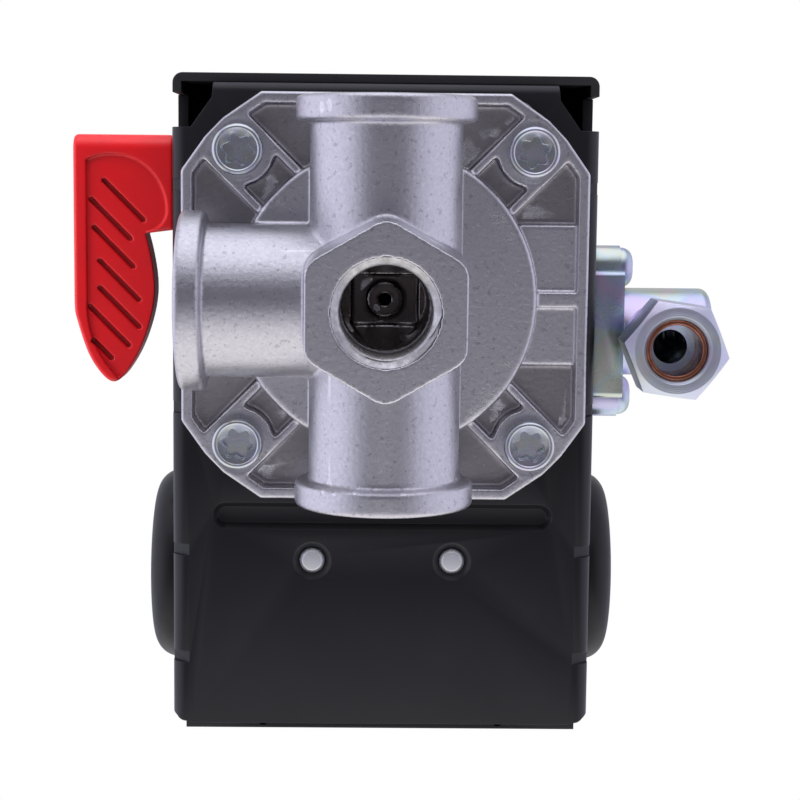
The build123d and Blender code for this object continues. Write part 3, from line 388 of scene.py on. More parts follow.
    def _hollows(self) -> bpy.types.NodeTree:
        """Where a surface that faces down lies above a height, as the floor of a hollow does: the
        mask for painted shade.
        """
        outputs = {"Mask": "NodeSocketFloat"}
        graph, given, out = self._group(Effect.HOLLOWS, {"From": 0.030, "To": 0.031}, outputs)
        where = graph.node("ShaderNodeTexCoord").outputs["Object"]
        height = graph.node("ShaderNodeSeparateXYZ", {0: where}).outputs[2]
        above = graph.spread(height, given.outputs["From"], given.outputs["To"])
        normal = graph.node("ShaderNodeNewGeometry").outputs["Normal"]
        facing = graph.node("ShaderNodeSeparateXYZ", {0: normal}).outputs[2]
        down = graph.spread(facing, -0.3, -0.8)
        graph.feed(out, Mask=graph.math("MULTIPLY", above, down))
        return graph.tree

    def _deep_bore(self) -> bpy.types.NodeTree:
        """The inside of a bore about the Z axis, more strongly the deeper it is: the mask for
        painted shade.
        """
        outputs = {"Mask": "NodeSocketFloat"}
        defaults = {"Radius": 0.007, "From": 0.004, "To": 0.014}
        graph, given, out = self._group(Effect.DEEP_BORE, defaults, outputs)
        where = graph.node("ShaderNodeTexCoord").outputs["Object"]
        parts = graph.node("ShaderNodeSeparateXYZ", {0: where})
        across = graph.node("ShaderNodeCombineXYZ", {0: parts.outputs[0], 1: parts.outputs[1]})
        radius = graph.vector("LENGTH", across.outputs[0])
        inside = graph.math("LESS_THAN", radius.outputs[1], given.outputs["Radius"])
        deep = graph.spread(parts.outputs[2], given.outputs["From"], given.outputs["To"])
        graph.feed(out, Mask=graph.math("MULTIPLY", inside, deep))
        return graph.tree


EFFECTS = Effects()


# ---- finishes -----------------------------------------------------------------------------------


@dataclass(frozen=True)
class Finish:
    """A surface finish: two tones, a roughness range and a fine bump.

    Attributes:
        name: the material's name.
        slot: the record's material slot; not used.
        light: the lighter tone.
        dark: the darker tone.
        rough: roughness in the light and in the dark patches.
        metallic: 0 or 1.
        grain_mm: the size of the fine bumps.
        bump_mm: how deep they are.
        patch_mm: the size of the patches of tone.
        coat: clear-coat weight.
        specular: specular level.
    """

    name: str
    slot: str
    light: Colour
    dark: Colour
    rough: tuple[float, float] = (0.35, 0.45)
    metallic: float = 0.0
    grain_mm: float = 0.25
    bump_mm: float = 0.01
    patch_mm: float = 8.0
    coat: float = 0.0
    specular: float = 0.5

    def material(self) -> bpy.types.Material:
        """Builds the material, or returns it if it was built before."""
        found = bpy.data.materials.get(self.name)
        if found is not None:
            return found
        made = bpy.data.materials.new(self.name)
        graph = blank(made)
        surface = graph.node("ShaderNodeBsdfPrincipled")
        surface.inputs["Metallic"].default_value = self.metallic
        surface.inputs["Coat Weight"].default_value = self.coat
        surface.inputs["Coat Roughness"].default_value = 0.2
        surface.inputs["Specular IOR Level"].default_value = self.specular
        out = graph.node("ShaderNodeOutputMaterial")
        made.node_tree.links.new(surface.outputs[0], out.inputs[0])
        self.paint(graph, surface)
        made.diffuse_color = (*self.light, 1.0)
        return made

    def paint(self, graph: Graph, surface: bpy.types.Node) -> None:
        """Feeds the shader's colour, roughness and normal.

        Args:
            graph: the material's graph.
            surface: its Principled BSDF.
        """
        tone = EFFECTS.place(
            graph, Effect.MOTTLE, Light=self.light, Dark=self.dark, Size=self.patch_mm
        )
        grain = EFFECTS.place(graph, Effect.GRAIN, Size=self.grain_mm)
        graph.feed(surface, Base_Color=tone.outputs["Colour"])
        rough = graph.spread(tone.outputs["Mask"], 0.0, 1.0, (self.rough[1], self.rough[0]))
        graph.feed(surface, Roughness=rough)
        self.bump(graph, surface, grain.outputs["Height"], self.bump_mm)

    @staticmethod
    def bump(graph: Graph, surface: bpy.types.Node, height: object, depth_mm: float) -> None:
        """Bumps the shader's normal by a height, chained on any bump it has already.

        Args:
            graph: the material's graph.
            surface: its Principled BSDF.
            height: the height's socket, 0 to 1.
            depth_mm: what a height of 1 is worth.
        """
        made = graph.node("ShaderNodeBump", {"Height": height, "Distance": depth_mm * MM})
        made.inputs["Strength"].default_value = 1.0
        before = surface.inputs["Normal"]
        if before.is_linked:
            graph.tree.links.new(before.links[0].from_socket, made.inputs["Normal"])
        graph.tree.links.new(made.outputs[0], before)


@dataclass(frozen=True)
class CastFinish(Finish):
    """Tumbled die casting: dimpled, pitted, with painted shade in its hollows and deep in its bore,
    and bright on its rubbed edges.

    Attributes:
        dimple_mm: the dimples' size.
        dimple_depth_mm: how deep they are.
        pit_share: how much of the surface has pits.
        pocket_z: between these heights the painted shade comes in on the hollows' floors.
        pit_tone: the colour of the pits.
        pocket_tone: painted shade on the hollows' floors.
        bore_tone: painted shade deep in the bore.
        edge_tone: the colour of the rubbed edges.
        edge_polish: how much less rough they are.
    """

    dimple_mm: float = 0.55
    dimple_depth_mm: float = 0.02
    pit_share: float = 0.15
    pocket_z: tuple[float, float] = (30.0 * MM, 30.8 * MM)
    pit_tone: Colour = (0.2, 0.19, 0.21)
    pocket_tone: Colour = (0.34, 0.32, 0.32)
    bore_tone: Colour = (0.16, 0.125, 0.105)
    edge_tone: Colour = (1.0, 0.99, 1.0)
    edge_polish: float = 0.14

    def paint(self, graph: Graph, surface: bpy.types.Node) -> None:
        """Adds dimples, pits, painted shade in the hollows and the bore, and worn edges to the
        plain finish.
        """
        super().paint(graph, surface)
        dimples = EFFECTS.place(
            graph, Effect.DIMPLES, Size=self.dimple_mm, Pit_Share=self.pit_share
        )
        self.bump(graph, surface, dimples.outputs["Height"], self.dimple_depth_mm)
        low, high = self.pocket_z
        edges = EFFECTS.place(graph, Effect.WORN_EDGES).outputs["Mask"]
        # Painted shade on the floors of the hollows, where they face down above pocket_z.
        pocket_shade = EFFECTS.place(graph, Effect.HOLLOWS, From=low, To=high).outputs["Mask"]
        # Painted shade deep in the bore, stronger the deeper it goes.
        bore = EFFECTS.place(graph, Effect.DEEP_BORE).outputs["Mask"]
        tone = surface.inputs["Base Color"].links[0].from_socket
        # The hollows' layer and the bore's layer below are painted shade.
        layers = (
            (dimples.outputs["Pits"], 0.3, self.pit_tone),
            (pocket_shade, 0.75, self.pocket_tone),
            (bore, 0.85, self.bore_tone),
            (edges, 1.0, self.edge_tone),
        )
        for mask, strength, colour in layers:
            tone = graph.mix(graph.math("MULTIPLY", mask, strength), tone, colour)
        graph.feed(surface, Base_Color=tone)
        rough = surface.inputs["Roughness"].links[0].from_socket
        polished = graph.math("MULTIPLY_ADD", edges, -self.edge_polish, rough)
        graph.feed(surface, Roughness=polished)


@dataclass(frozen=True)
class PlatedFinish(Finish):
    """Zinc plate with an iridescent passivate, and turning rings where a centre is given."""

    tint: float = 0.8
    centre: tuple[float, float, float] | None = None
    pitch_mm: float = 0.34
    ring_mm: float = 0.018

    def paint(self, graph: Graph, surface: bpy.types.Node) -> None:
        """Swaps the two tones for the passivate's drifting tints."""
        super().paint(graph, surface)
        film = EFFECTS.place(
            graph, Effect.PLATING, Size=self.patch_mm, Strength=self.tint, Metal=self.light
        )
        graph.feed(surface, Base_Color=film.outputs["Colour"])
        if self.centre is not None:
            rings = EFFECTS.place(graph, Effect.TURNING, Centre=self.centre, Pitch=self.pitch_mm)
            self.bump(graph, surface, rings.outputs["Height"], self.ring_mm)


@dataclass(frozen=True)
class LeverFinish(Finish):
    """Glossy moulding with painted shade on the floors of its finger grooves."""

    # Painted shade for the floors of the finger grooves.
    groove: Colour = (0.33, 0.003, 0.006)
    groove_z: tuple[float, float] = (45.7 * MM, 46.0 * MM)

    def paint(self, graph: Graph, surface: bpy.types.Node) -> None:
        """Adds painted shade in the grooves to the plain finish."""
        super().paint(graph, surface)
        low, high = self.groove_z
        # Painted shade where the grooves' floors face down, between the grooves' heights.
        hollow = EFFECTS.place(graph, Effect.HOLLOWS, From=low, To=high)
        tone = surface.inputs["Base Color"].links[0].from_socket
        shaded = graph.mix(hollow.outputs["Mask"], tone, self.groove)
        graph.feed(surface, Base_Color=shaded)


@dataclass(frozen=True)
class PaintFinish(Finish):
    """Powder coat or moulding with a fine grain and a few specks caught in it."""

    speck: Colour = (0.12, 0.12, 0.11)
    speck_mm: float = 12.0

    def paint(self, graph: Graph, surface: bpy.types.Node) -> None:
        """Adds the specks to the plain finish."""
        super().paint(graph, surface)
        specks = EFFECTS.place(graph, Effect.SPECKS, Spacing=self.speck_mm, Speck=0.014)
        tone = surface.inputs["Base Color"].links[0].from_socket
        mixed = graph.mix(graph.math("MULTIPLY", specks.outputs["Mask"], 0.7), tone, self.speck)
        graph.feed(surface, Base_Color=mixed)


CAST = CastFinish(
    "tumbled_aluminium", "cast_aluminium", (0.80, 0.79, 0.82), (0.70, 0.69, 0.72),
    rough=(0.27, 0.36), metallic=1.0, grain_mm=0.12, bump_mm=0.022, patch_mm=0.5,
)
MACHINED = Finish(
    "cut_aluminium", "cast_aluminium", (0.80, 0.79, 0.78), (0.55, 0.54, 0.53),
    rough=(0.25, 0.4), metallic=1.0, grain_mm=0.2, bump_mm=0.02, patch_mm=1.2,
)
BRIGHT_ZINC = PlatedFinish(
    "bright_zinc", "zinc_screw", (0.80, 0.82, 0.84), (0.6, 0.62, 0.66),
    rough=(0.18, 0.3), metallic=1.0, grain_mm=0.4, bump_mm=0.006, patch_mm=3.0, tint=0.3,
)
ROLLED_TIP = PlatedFinish(
    "rolled_tip", "zinc_screw", (0.97, 0.98, 0.98), (0.8, 0.82, 0.86),
    rough=(0.42, 0.5), metallic=1.0, grain_mm=0.4, bump_mm=0.006, patch_mm=3.0, tint=0.1,
)
PASSIVATE = PlatedFinish(
    "passivated_zinc", "zinc_passivate", (0.78, 0.78, 0.86), (0.6, 0.6, 0.7),
    rough=(0.2, 0.32), metallic=1.0, grain_mm=0.35, bump_mm=0.008, patch_mm=9.0, tint=0.85,
)
PRESSED_ZINC = PlatedFinish(
    "pressed_zinc", "pressed_steel", (0.74, 0.75, 0.78), (0.6, 0.6, 0.64),
    rough=(0.28, 0.4), metallic=1.0, grain_mm=0.3, bump_mm=0.008, patch_mm=12.0, tint=0.25,
)
POWDER_COAT = PaintFinish(
    "black_powder_coat", "black_steel", (0.0085, 0.0085, 0.010), (0.0065, 0.0065, 0.008),
    rough=(0.28, 0.34), grain_mm=0.35, bump_mm=0.005, patch_mm=20.0, specular=0.38,
)
COVER_MOULDING = PaintFinish(
    "black_moulding", "black_cover", (0.012, 0.012, 0.014), (0.009, 0.009, 0.010),
    rough=(0.42, 0.5), grain_mm=0.22, bump_mm=0.012, patch_mm=25.0,
)
RED_PLASTIC = LeverFinish(
    "red_plastic", "red_lever", (0.50, 0.005, 0.008), (0.44, 0.004, 0.007),
    rough=(0.32, 0.40), grain_mm=0.3, bump_mm=0.003, patch_mm=10.0, specular=0.45,
)
BUSHING_RUBBER = PaintFinish(
    "black_bushing", "black_rubber", (0.008, 0.008, 0.009), (0.006, 0.006, 0.007),
    rough=(0.3, 0.4), grain_mm=0.3, bump_mm=0.006, patch_mm=6.0, speck_mm=16.0, specular=0.32,
)
NITRILE = Finish(
    "nitrile_sheet", "diaphragm_rubber", (0.045, 0.045, 0.045), (0.03, 0.03, 0.03),
    rough=(0.6, 0.7),
)
COPPER = Finish(
    "copper_sleeve", "copper", (0.62, 0.27, 0.17), (0.36, 0.13, 0.075),
    rough=(0.16, 0.3), metallic=1.0, grain_mm=0.25, bump_mm=0.008, patch_mm=1.6,
)
SPRING_WIRE = Finish(
    "spring_wire", "spring_steel", (0.60, 0.61, 0.64), (0.42, 0.42, 0.45),
    rough=(0.22, 0.34), metallic=1.0, grain_mm=0.3, bump_mm=0.004, patch_mm=4.0,
)
BRASS = Finish(
    "stamped_brass", "brass", (0.80, 0.62, 0.31), (0.66, 0.48, 0.22),
    rough=(0.2, 0.34), metallic=1.0, grain_mm=0.3, bump_mm=0.005, patch_mm=4.0,
)
SILVER = Finish(
    "contact_silver", "contact_silver", (0.92, 0.91, 0.88), (0.75, 0.74, 0.7),
    rough=(0.18, 0.3), metallic=1.0, grain_mm=0.2, bump_mm=0.004, patch_mm=1.5,
)
PHENOLIC = PaintFinish(
    "black_phenolic", "phenolic", (0.032, 0.028, 0.026), (0.02, 0.018, 0.017),
    rough=(0.3, 0.42), grain_mm=0.4, bump_mm=0.008, patch_mm=7.0,
)
NYLON = Finish(
    "natural_nylon", "white_plastic", (0.78, 0.76, 0.69), (0.7, 0.68, 0.61),
    rough=(0.35, 0.45), grain_mm=0.4, bump_mm=0.004, patch_mm=5.0,
)
FIBRE = Finish(
    "gasket_fibre", "gasket", (0.20, 0.25, 0.27), (0.12, 0.16, 0.18),
    rough=(0.6, 0.75), grain_mm=0.25, bump_mm=0.02, patch_mm=2.0,
)
LABEL_FILM = Finish(
    "blank_label", "label", (0.70, 0.71, 0.72), (0.66, 0.67, 0.68),
    rough=(0.28, 0.34), grain_mm=0.6, bump_mm=0.003, patch_mm=12.0, coat=0.4,
)


# ---- meshes -------------------------------------------------------------------------------------


def linked(name: str, data: bpy.types.ID) -> bpy.types.Object:
    """Makes an object of some data and puts it in the scene."""
    made = bpy.data.objects.new(name, data)
    bpy.context.scene.collection.objects.link(made)
    return made


def mesh_of(shape: bmesh.types.BMesh, name: str) -> bpy.types.Mesh:
    """Turns a bmesh into a mesh and frees it."""
    mesh = bpy.data.meshes.new(name)
    shape.to_mesh(mesh)
    shape.free()
    return mesh


def baked(piece: bpy.types.Object) -> bpy.types.Object:
    """Swaps in a piece's evaluated mesh and takes its modifiers off."""
    graph = bpy.context.evaluated_depsgraph_get()
    graph.update()
    mesh = bpy.data.meshes.new_from_object(piece.evaluated_get(graph), depsgraph=graph)
    piece.modifiers.clear()
    piece.data = mesh
    mesh.name = piece.name
    return piece


class Workshop:
    """Makes and finishes pieces round the loaded frame."""

    SHARP = 32.0

    def __init__(self, frame: dict) -> None:
        """Keeps the frame.
        """
        self.nodes: dict[str, bpy.types.Object] = frame["nodes"]
        self.body_of = {
            node: body
            for body, members in frame["record"]["behaviour"]["bodies"].items()
            for node in members
        }

    def dress(self, finish: Finish, *names: str) -> None:
        """Gives CAD nodes a finish and keeps their shape.

        Args:
            finish: the finish.
            names: the nodes' names.
        """
        for name in names:
            mesh = self.nodes[name].data
            mesh.materials.clear()
            mesh.materials.append(finish.material())
            LOG.info("dressed %s in %s", name, finish.name)

    def clean_copy(self, name: str, *nodes: str) -> bpy.types.Object:
        """Copies CAD nodes as one connected mesh with large flat faces.

        Args:
            name: the new piece's name.
            nodes: the CAD nodes; where two share a face, the face goes.

        Returns:
            The new object, with no material.
        """
        shape = bmesh.new()
        for node in nodes:
            shape.from_mesh(self.nodes[node].data)
        bmesh.ops.remove_doubles(shape, verts=shape.verts, dist=0.002 * MM)
        bmesh.ops.dissolve_degenerate(shape, edges=shape.edges, dist=0.002 * MM)
        bmesh.ops.dissolve_limit(
            shape, angle_limit=math.radians(0.6), verts=shape.verts, edges=shape.edges
        )
        return linked(name, mesh_of(shape, name))

    def eased(self, node: str, finish: Finish, width_mm: float, *joined: str) -> bpy.types.Object:
        """Replaces a CAD node by a copy whose sharp edges are eased by a small round.

        Args:
            node: the CAD node.
            finish: the copy's finish.
            width_mm: the round's width.
            joined: other nodes of the same body that are one piece with it in the real object.

        Returns:
            The finished piece.
        """
        piece = self.clean_copy(node + "_eased", node)
        for part in joined:
            other = self.clean_copy(part + "_copy", part)
            union = piece.modifiers.new("join", "BOOLEAN")
            union.operation = "UNION"
            union.solver = "EXACT"
            union.object = other
            baked(piece)
            bpy.data.objects.remove(other, do_unlink=True)
        bevel = piece.modifiers.new("ease", "BEVEL")
        bevel.width = width_mm * MM
        bevel.segments = 3
        bevel.limit_method = "ANGLE"
        bevel.angle_limit = math.radians(self.SHARP)
        bevel.harden_normals = False
        bevel.use_clamp_overlap = True
        baked(piece)
        self.shade(piece, 30.0)
        return self.finish_piece(piece, finish, self.body_of[node], node, *joined)

    def moulded(
        self, node: str, finish: Finish, voxel_mm: float, passes: int, triangles: int
    ) -> bpy.types.Object:
        """Replaces a CAD node by a cast or moulded copy: every corner flows into the next face.

        Args:
            node: the CAD node.
            finish: the copy's finish.
            voxel_mm: the grid that the copy is rebuilt on.
            passes: how many smoothing passes, each about half a voxel wide.
            triangles: the most triangles that the copy may keep.

        Returns:
            The finished piece.
        """
        piece = self.clean_copy(node + "_moulded", node)
        remesh = piece.modifiers.new("rebuild", "REMESH")
        remesh.mode = "VOXEL"
        remesh.voxel_size = voxel_mm * MM
        smooth = piece.modifiers.new("flow", "SMOOTH")
        smooth.factor = 0.5
        smooth.iterations = passes
        baked(piece)
        count = 2 * len(piece.data.polygons)
        if count > triangles:
            thin = piece.modifiers.new("thin", "DECIMATE")
            thin.ratio = triangles / count
            baked(piece)
        self.keep_inside(piece, node)
        self.shade(piece, 180.0)
        return self.finish_piece(piece, finish, self.body_of[node], node)

    def keep_inside(self, piece: bpy.types.Object, node: str) -> None:
        """Clamps a piece's points to its CAD node's box."""
        low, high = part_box(node)
        for vertex in piece.data.vertices:
            vertex.co = Vector(
                min(max(c, low[i]), high[i]) for i, c in enumerate(vertex.co)
            )

    @staticmethod
    def shade(piece: bpy.types.Object, angle: float) -> None:
        """Shades a piece smooth, with edges sharper than angle kept crisp."""
        mesh = piece.data
        mesh.polygons.foreach_set("use_smooth", [True] * len(mesh.polygons))
        if angle < 180.0:
            mesh.set_sharp_from_angle(angle=math.radians(angle))
        mesh.update()

    def finish_piece(
        self, piece: bpy.types.Object, finish: Finish, body: str, *replaced: str
    ) -> bpy.types.Object:
        """Gives a piece its finish as its only material, and its body, and hides what it replaces.

        Args:
            piece: the piece.
            finish: its finish.
            body: the CAD body it rides on.
            replaced: CAD nodes that it stands for.

        Returns:
            The piece.
        """
        piece.data.materials.clear()
        piece.data.materials.append(finish.material())
        piece.data.polygons.foreach_set("material_index", [0] * len(piece.data.polygons))
        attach(piece, body)
        for node in replaced:
            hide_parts(node)
        LOG.info("made %s with %d faces", piece.name, len(piece.data.polygons))
        return piece


# ---- geometry trees -----------------------------------------------------------------------------


class GrownPiece:
    """A piece grown by a Geometry Nodes tree and turned into a plain mesh."""

    def __init__(self, name: str) -> None:
        """Makes the tree with a geometry output.

        Args:
            name: the tree's and the piece's name.
        """
        self.name = name
        self.tree = bpy.data.node_groups.new(name + "_tree", "GeometryNodeTree")
        for way in ("INPUT", "OUTPUT"):
            self.tree.interface.new_socket(
                "Geometry", in_out=way, socket_type="NodeSocketGeometry"
            )
        self.graph = Graph(self.tree)
        self.given = self.tree.nodes.new("NodeGroupInput")
        self.out = self.tree.nodes.new("NodeGroupOutput")
        self.values: dict[str, float] = {}

    def size(self, name: str, value: float) -> bpy.types.NodeSocket:
        """Adds a named size to the tree's inputs.

        Args:
            name: the input's name.
            value: its value for this piece.

        Returns:
            The socket that carries it inside the tree.
        """
        socket = self.tree.interface.new_socket(name, in_out="INPUT", socket_type="NodeSocketFloat")
        self.values[socket.identifier] = value
        return self.given.outputs[name]

    def grow(self, geometry: bpy.types.NodeSocket, finish: Finish) -> bpy.types.Object:
        """Ends the tree and turns its result into a mesh object.

        Args:
            geometry: the tree's last geometry.
            finish: whose material the faces take.

        Returns:
            The new object, with no modifier left.
        """
        real = self.graph.node("GeometryNodeRealizeInstances", {0: geometry})
        dressed = self.graph.node("GeometryNodeSetMaterial", {0: real.outputs[0]})
        dressed.inputs["Material"].default_value = finish.material()
        self.tree.links.new(dressed.outputs[0], self.out.inputs[0])
        piece = linked(self.name, bpy.data.meshes.new(self.name))
        modifier = piece.modifiers.new("grow", "NODES")
        modifier.node_group = self.tree
        for identifier, value in self.values.items():
            modifier[identifier] = value
        return baked(piece)


class ScrewSet(GrownPiece):
    """Flange screws with a six-lobed recess: one is turned, and a tree sets out all four.

    In STAR a row is the share of the lobed outline's radius, how strongly it is lobed, and its
    depth behind the head's face. In HEAD a row is a radius and a depth. Both are in millimetres.
    """

    ROUND = 120
    LOBES = 6
    STAR_R = 1.90
    LOBE = 0.30
    SHANK_R = 2.0
    LOBE_TURN = 1.047
    SEED = 4
    EDGE_DEGREES = 35.0
    STAR = (
        (0.0, 0.0, 1.7), (0.35, 0.35, 1.7), (0.7, 0.7, 1.7), (0.97, 0.97, 1.7),
        (1.0, 1.0, 1.62), (1.0, 1.0, 0.34), (1.04, 1.0, 0.24),
    )
    HEAD = (
        (2.45, 0.20), (2.68, 0.16), (2.80, 0.04), (2.92, 0.0), (3.06, 0.02), (3.20, 0.09),
        (3.32, 0.22), (3.41, 0.42), (3.45, 0.70), (3.45, 2.75), (SHANK_R, 2.8),
    )

    def one(self, low: float, high: float) -> bpy.types.Object:
        """Turns one screw about the Z axis.

        Args:
            low: the height of the head's face.
            high: the height of the shank's end.

        Returns:
            The screw, which the tree reads and which is then removed.
        """
        angles = [2 * math.pi * i / self.ROUND for i in range(self.ROUND)]
        rings = []
        for scale, share, deep in self.STAR:
            lobed = [self.STAR_R + share * self.LOBE * math.cos(self.LOBES * a) for a in angles]
            rings.append(([radius * scale * MM for radius in lobed], low + deep * MM))
        for radius, deep in self.HEAD:
            rings.append(([radius * MM] * self.ROUND, low + deep * MM))
        rings.append(([self.SHANK_R * MM] * self.ROUND, high))
        rings.append(([0.0] * self.ROUND, high))
        shape = bmesh.new()
        made = [
            [shape.verts.new((r * math.cos(a), r * math.sin(a), z)) for r, a in zip(radii, angles)]
            for radii, z in rings
        ]
        for first, second in zip(made, made[1:]):
            for i in range(self.ROUND):
                j = (i + 1) % self.ROUND
                shape.faces.new((first[i], first[j], second[j], second[i]))
        bmesh.ops.remove_doubles(shape, verts=shape.verts, dist=0.001 * MM)
        bmesh.ops.recalc_face_normals(shape, faces=shape.faces)
        return linked(self.name + "_one", mesh_of(shape, self.name + "_one"))

    def build(self, low: float, high: float, half: float, finish: Finish) -> bpy.types.Object:
        """Sets out the four screws.

        Args:
            low: the height of the heads' faces.
            high: the height of the shanks' ends.
            half: half of the spacing.
            finish: the screws' finish.

        Returns:
            The four screws as one piece.
        """
        screw = self.one(low, high)
        g = self.graph
        spacing = g.math("MULTIPLY", self.size("Half Spacing", half), 2.0)
        corners = {"Size X": spacing, "Size Y": spacing, "Vertices X": 2, "Vertices Y": 2}
        grid = g.node("GeometryNodeMeshGrid", corners)
        source = g.node("GeometryNodeObjectInfo", {"Object": screw})
        turns = {"Min": (0.0, 0.0, 0.0), "Max": (0.0, 0.0, self.LOBE_TURN), "Seed": self.SEED}
        turn = g.node("FunctionNodeRandomValue", turns, data_type="FLOAT_VECTOR")
        screws = {
            "Points": grid.outputs["Mesh"],
            "Instance": source.outputs["Geometry"],
            "Rotation": turn.outputs[0],
        }
        placed = g.node("GeometryNodeInstanceOnPoints", screws)
        piece = self.grow(placed.outputs[0], finish)
        bpy.data.objects.remove(screw, do_unlink=True)
        Workshop.shade(piece, self.EDGE_DEGREES)
        return piece


class ThreadPiece(GrownPiece):
    """The helical ridge of a pipe thread inside a bore, faded out at both ends."""

    SECTION_POINTS = 8
    STEPS_PER_TURN = 72

    def build(
        self, major: float, crest: float, pitch: float, length: float, mouth: float
    ) -> bpy.types.Object:
        """Grows the ridge about +Z, with the bore's mouth at the origin.

        Args:
            major: the bore's radius, which is the thread's root.
            crest: the ridge's inner radius.
            pitch: the height of one turn.
            length: how deep the thread goes.
            mouth: the radius of the 45-degree lead-in at the mouth.

        Returns:
            The thread's object, before it is put in its port.
        """
        g = self.graph
        root = self.size("Root Radius", major)
        inner = self.size("Crest Radius", crest)
        step = self.size("Pitch", pitch)
        depth = self.size("Length", length)
        lead = self.size("Mouth Radius", mouth)
        turns = g.math("DIVIDE", g.math("SUBTRACT", depth, step), step)
        points = {
            "Size X": 1.0,
            "Size Y": 1.25,
            "Vertices X": int(length / pitch * self.STEPS_PER_TURN),
            "Vertices Y": self.SECTION_POINTS + 3,
        }
        grid = g.node("GeometryNodeMeshGrid", points)
        place = g.node("ShaderNodeSeparateXYZ", {0: g.node("GeometryNodeInputPosition").outputs[0]})
        along = g.math("ADD", place.outputs[0], 0.5)
        around = g.math("ADD", place.outputs[1], 0.625)
        on_ridge = g.math("LESS_THAN", around, 1.001)
        back = g.math("MULTIPLY_ADD", g.math("SUBTRACT", around, 1.0), -4.0, 1.0)
        sides = {0: on_ridge, 1: back, 2: around}
        share = g.node("GeometryNodeSwitch", sides, input_type="FLOAT").outputs[0]
        peak = g.math("SUBTRACT", 1.0, g.math("ABSOLUTE", g.math("MULTIPLY_ADD", share, 2.0, -1.0)))
        ridge = g.math("MULTIPLY", g.math("MINIMUM", g.math("MULTIPLY", peak, 1.15), 1.0), on_ridge)
        fade_in = g.spread(along, 0.0, 0.015)
        fade_out = g.spread(along, 0.9, 1.0, (1.0, 0.0))
        height = g.math("MULTIPLY", ridge, g.math("MULTIPLY", fade_in, fade_out))
        climb = g.math("MULTIPLY", turns, step)
        up = g.math("MULTIPLY_ADD", along, climb, g.math("MULTIPLY", share, step))
        ridge_height = g.math("SUBTRACT", root, inner)
        plain = g.math("SUBTRACT", root, g.math("MULTIPLY", height, ridge_height))
        cone = g.math("SUBTRACT", lead, up)
        radius = g.math("MAXIMUM", plain, g.math("MINIMUM", cone, root))
        angle = g.math("MULTIPLY", along, g.math("MULTIPLY", turns, 2 * math.pi))
        spot = g.node(
            "ShaderNodeCombineXYZ",
            {0: g.math("MULTIPLY", radius, g.math("COSINE", angle)),
             1: g.math("MULTIPLY", radius, g.math("SINE", angle)),
             2: up},
        )
        helix = {"Geometry": grid.outputs[0], "Position": spot.outputs[0]}
        moved = g.node("GeometryNodeSetPosition", helix)
        doubles = {"Geometry": moved.outputs[0], "Distance": 0.002 * MM}
        merged = g.node("GeometryNodeMergeByDistance", doubles)
        return self.grow(merged.outputs[0], MACHINED)


# ---- sub-assemblies -----------------------------------------------------------------------------


@dataclass
class Manifold:
    """The four-port casting with its threads, flange screws and diaphragm."""

    shop: Workshop
    port_z: float = 20.0 * MM
    reach: float = 26.8 * MM
    thread_root: float = 6.78 * MM
    thread_crest: float = 5.75 * MM
    thread_pitch: float = 1.411 * MM
    thread_length: float = 11.0 * MM
    mouth: float = 7.05 * MM
    head_r: float = 3.45 * MM
    voxel_mm: float = 0.24
    triangles: int = 190000

    def build(self) -> None:
        """Makes the casting, the four threads and the screws."""
        self.shop.moulded("manifold", CAST, self.voxel_mm, 3, self.triangles)
        self.threads()
        low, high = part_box("manifold_screws")
        half = (high[0] - low[0]) / 2 - self.head_r
        screws = ScrewSet("flange_screws").build(low[2], high[2], half, BRIGHT_ZINC)
        self.shop.finish_piece(screws, BRIGHT_ZINC, "switch", "manifold_screws")
        self.shop.dress(NITRILE, "diaphragm")

    def threads(self) -> None:
        """Cuts a thread in each port: the same thread is grown for each port and placed in it."""
        quarter = math.pi / 2
        mouths = {
            "inlet": ((0, 0, 0), 0.0, "X"),
            "front": ((0, -self.reach, self.port_z), -quarter, "X"),
            "back": ((0, self.reach, self.port_z), quarter, "X"),
            "left": ((-self.reach, 0, self.port_z), quarter, "Y"),
        }
        sizes = (self.thread_root, self.thread_crest, self.thread_pitch, self.thread_length)
        for port, (place, angle, axis) in mouths.items():
            thread = ThreadPiece(port + "_thread").build(*sizes, self.mouth)
            thread.data.transform(Matrix.Translation(place) @ Matrix.Rotation(angle, 4, axis))
            recalculate(thread.data)
            Workshop.shade(thread, 40.0)
            self.shop.finish_piece(thread, MACHINED, "switch")


@dataclass
class SwitchBox:
    """The pressed base, the cover and what fastens them."""

    shop: Workshop
    bend_mm: float = 0.18

    def build(self) -> None:
        """Eases the base's and the cover's edges and dresses the rest."""
        self.shop.eased("base_frame", POWDER_COAT, self.bend_mm, "left_wall", "right_wall")
        self.shop.eased("cover", COVER_MOULDING, self.bend_mm)
        self.shop.dress(LABEL_FILM, "cover_label")
        self.shop.eased("cover_screws", BRIGHT_ZINC, 0.12)
        self.shop.dress(BRIGHT_ZINC, "ground_screw")
        self.shop.dress(PRESSED_ZINC, "cover_posts")


@dataclass
class OffLever:
    """The red lever with its shaft and cam."""

    shop: Workshop
    voxel_mm: float = 0.13
    triangles: int = 120000

    def build(self) -> None:
        """Moulds the lever and dresses what turns with it."""
        self.shop.moulded("off_lever", RED_PLASTIC, self.voxel_mm, 8, self.triangles)
        self.shop.dress(PRESSED_ZINC, "lever_shaft")
        self.shop.dress(NYLON, "lever_cam")
        self.shop.dress(SPRING_WIRE, "lever_ring")


@dataclass
class Conduits:
    """The two bushings and their nuts."""

    shop: Workshop

    def build(self) -> None:
        """Eases the bushings and dresses the nuts."""
        for side in ("left", "right"):
            self.shop.eased(side + "_bushing", BUSHING_RUBBER, 0.3)
        self.shop.dress(BUSHING_RUBBER, "bushing_nuts")


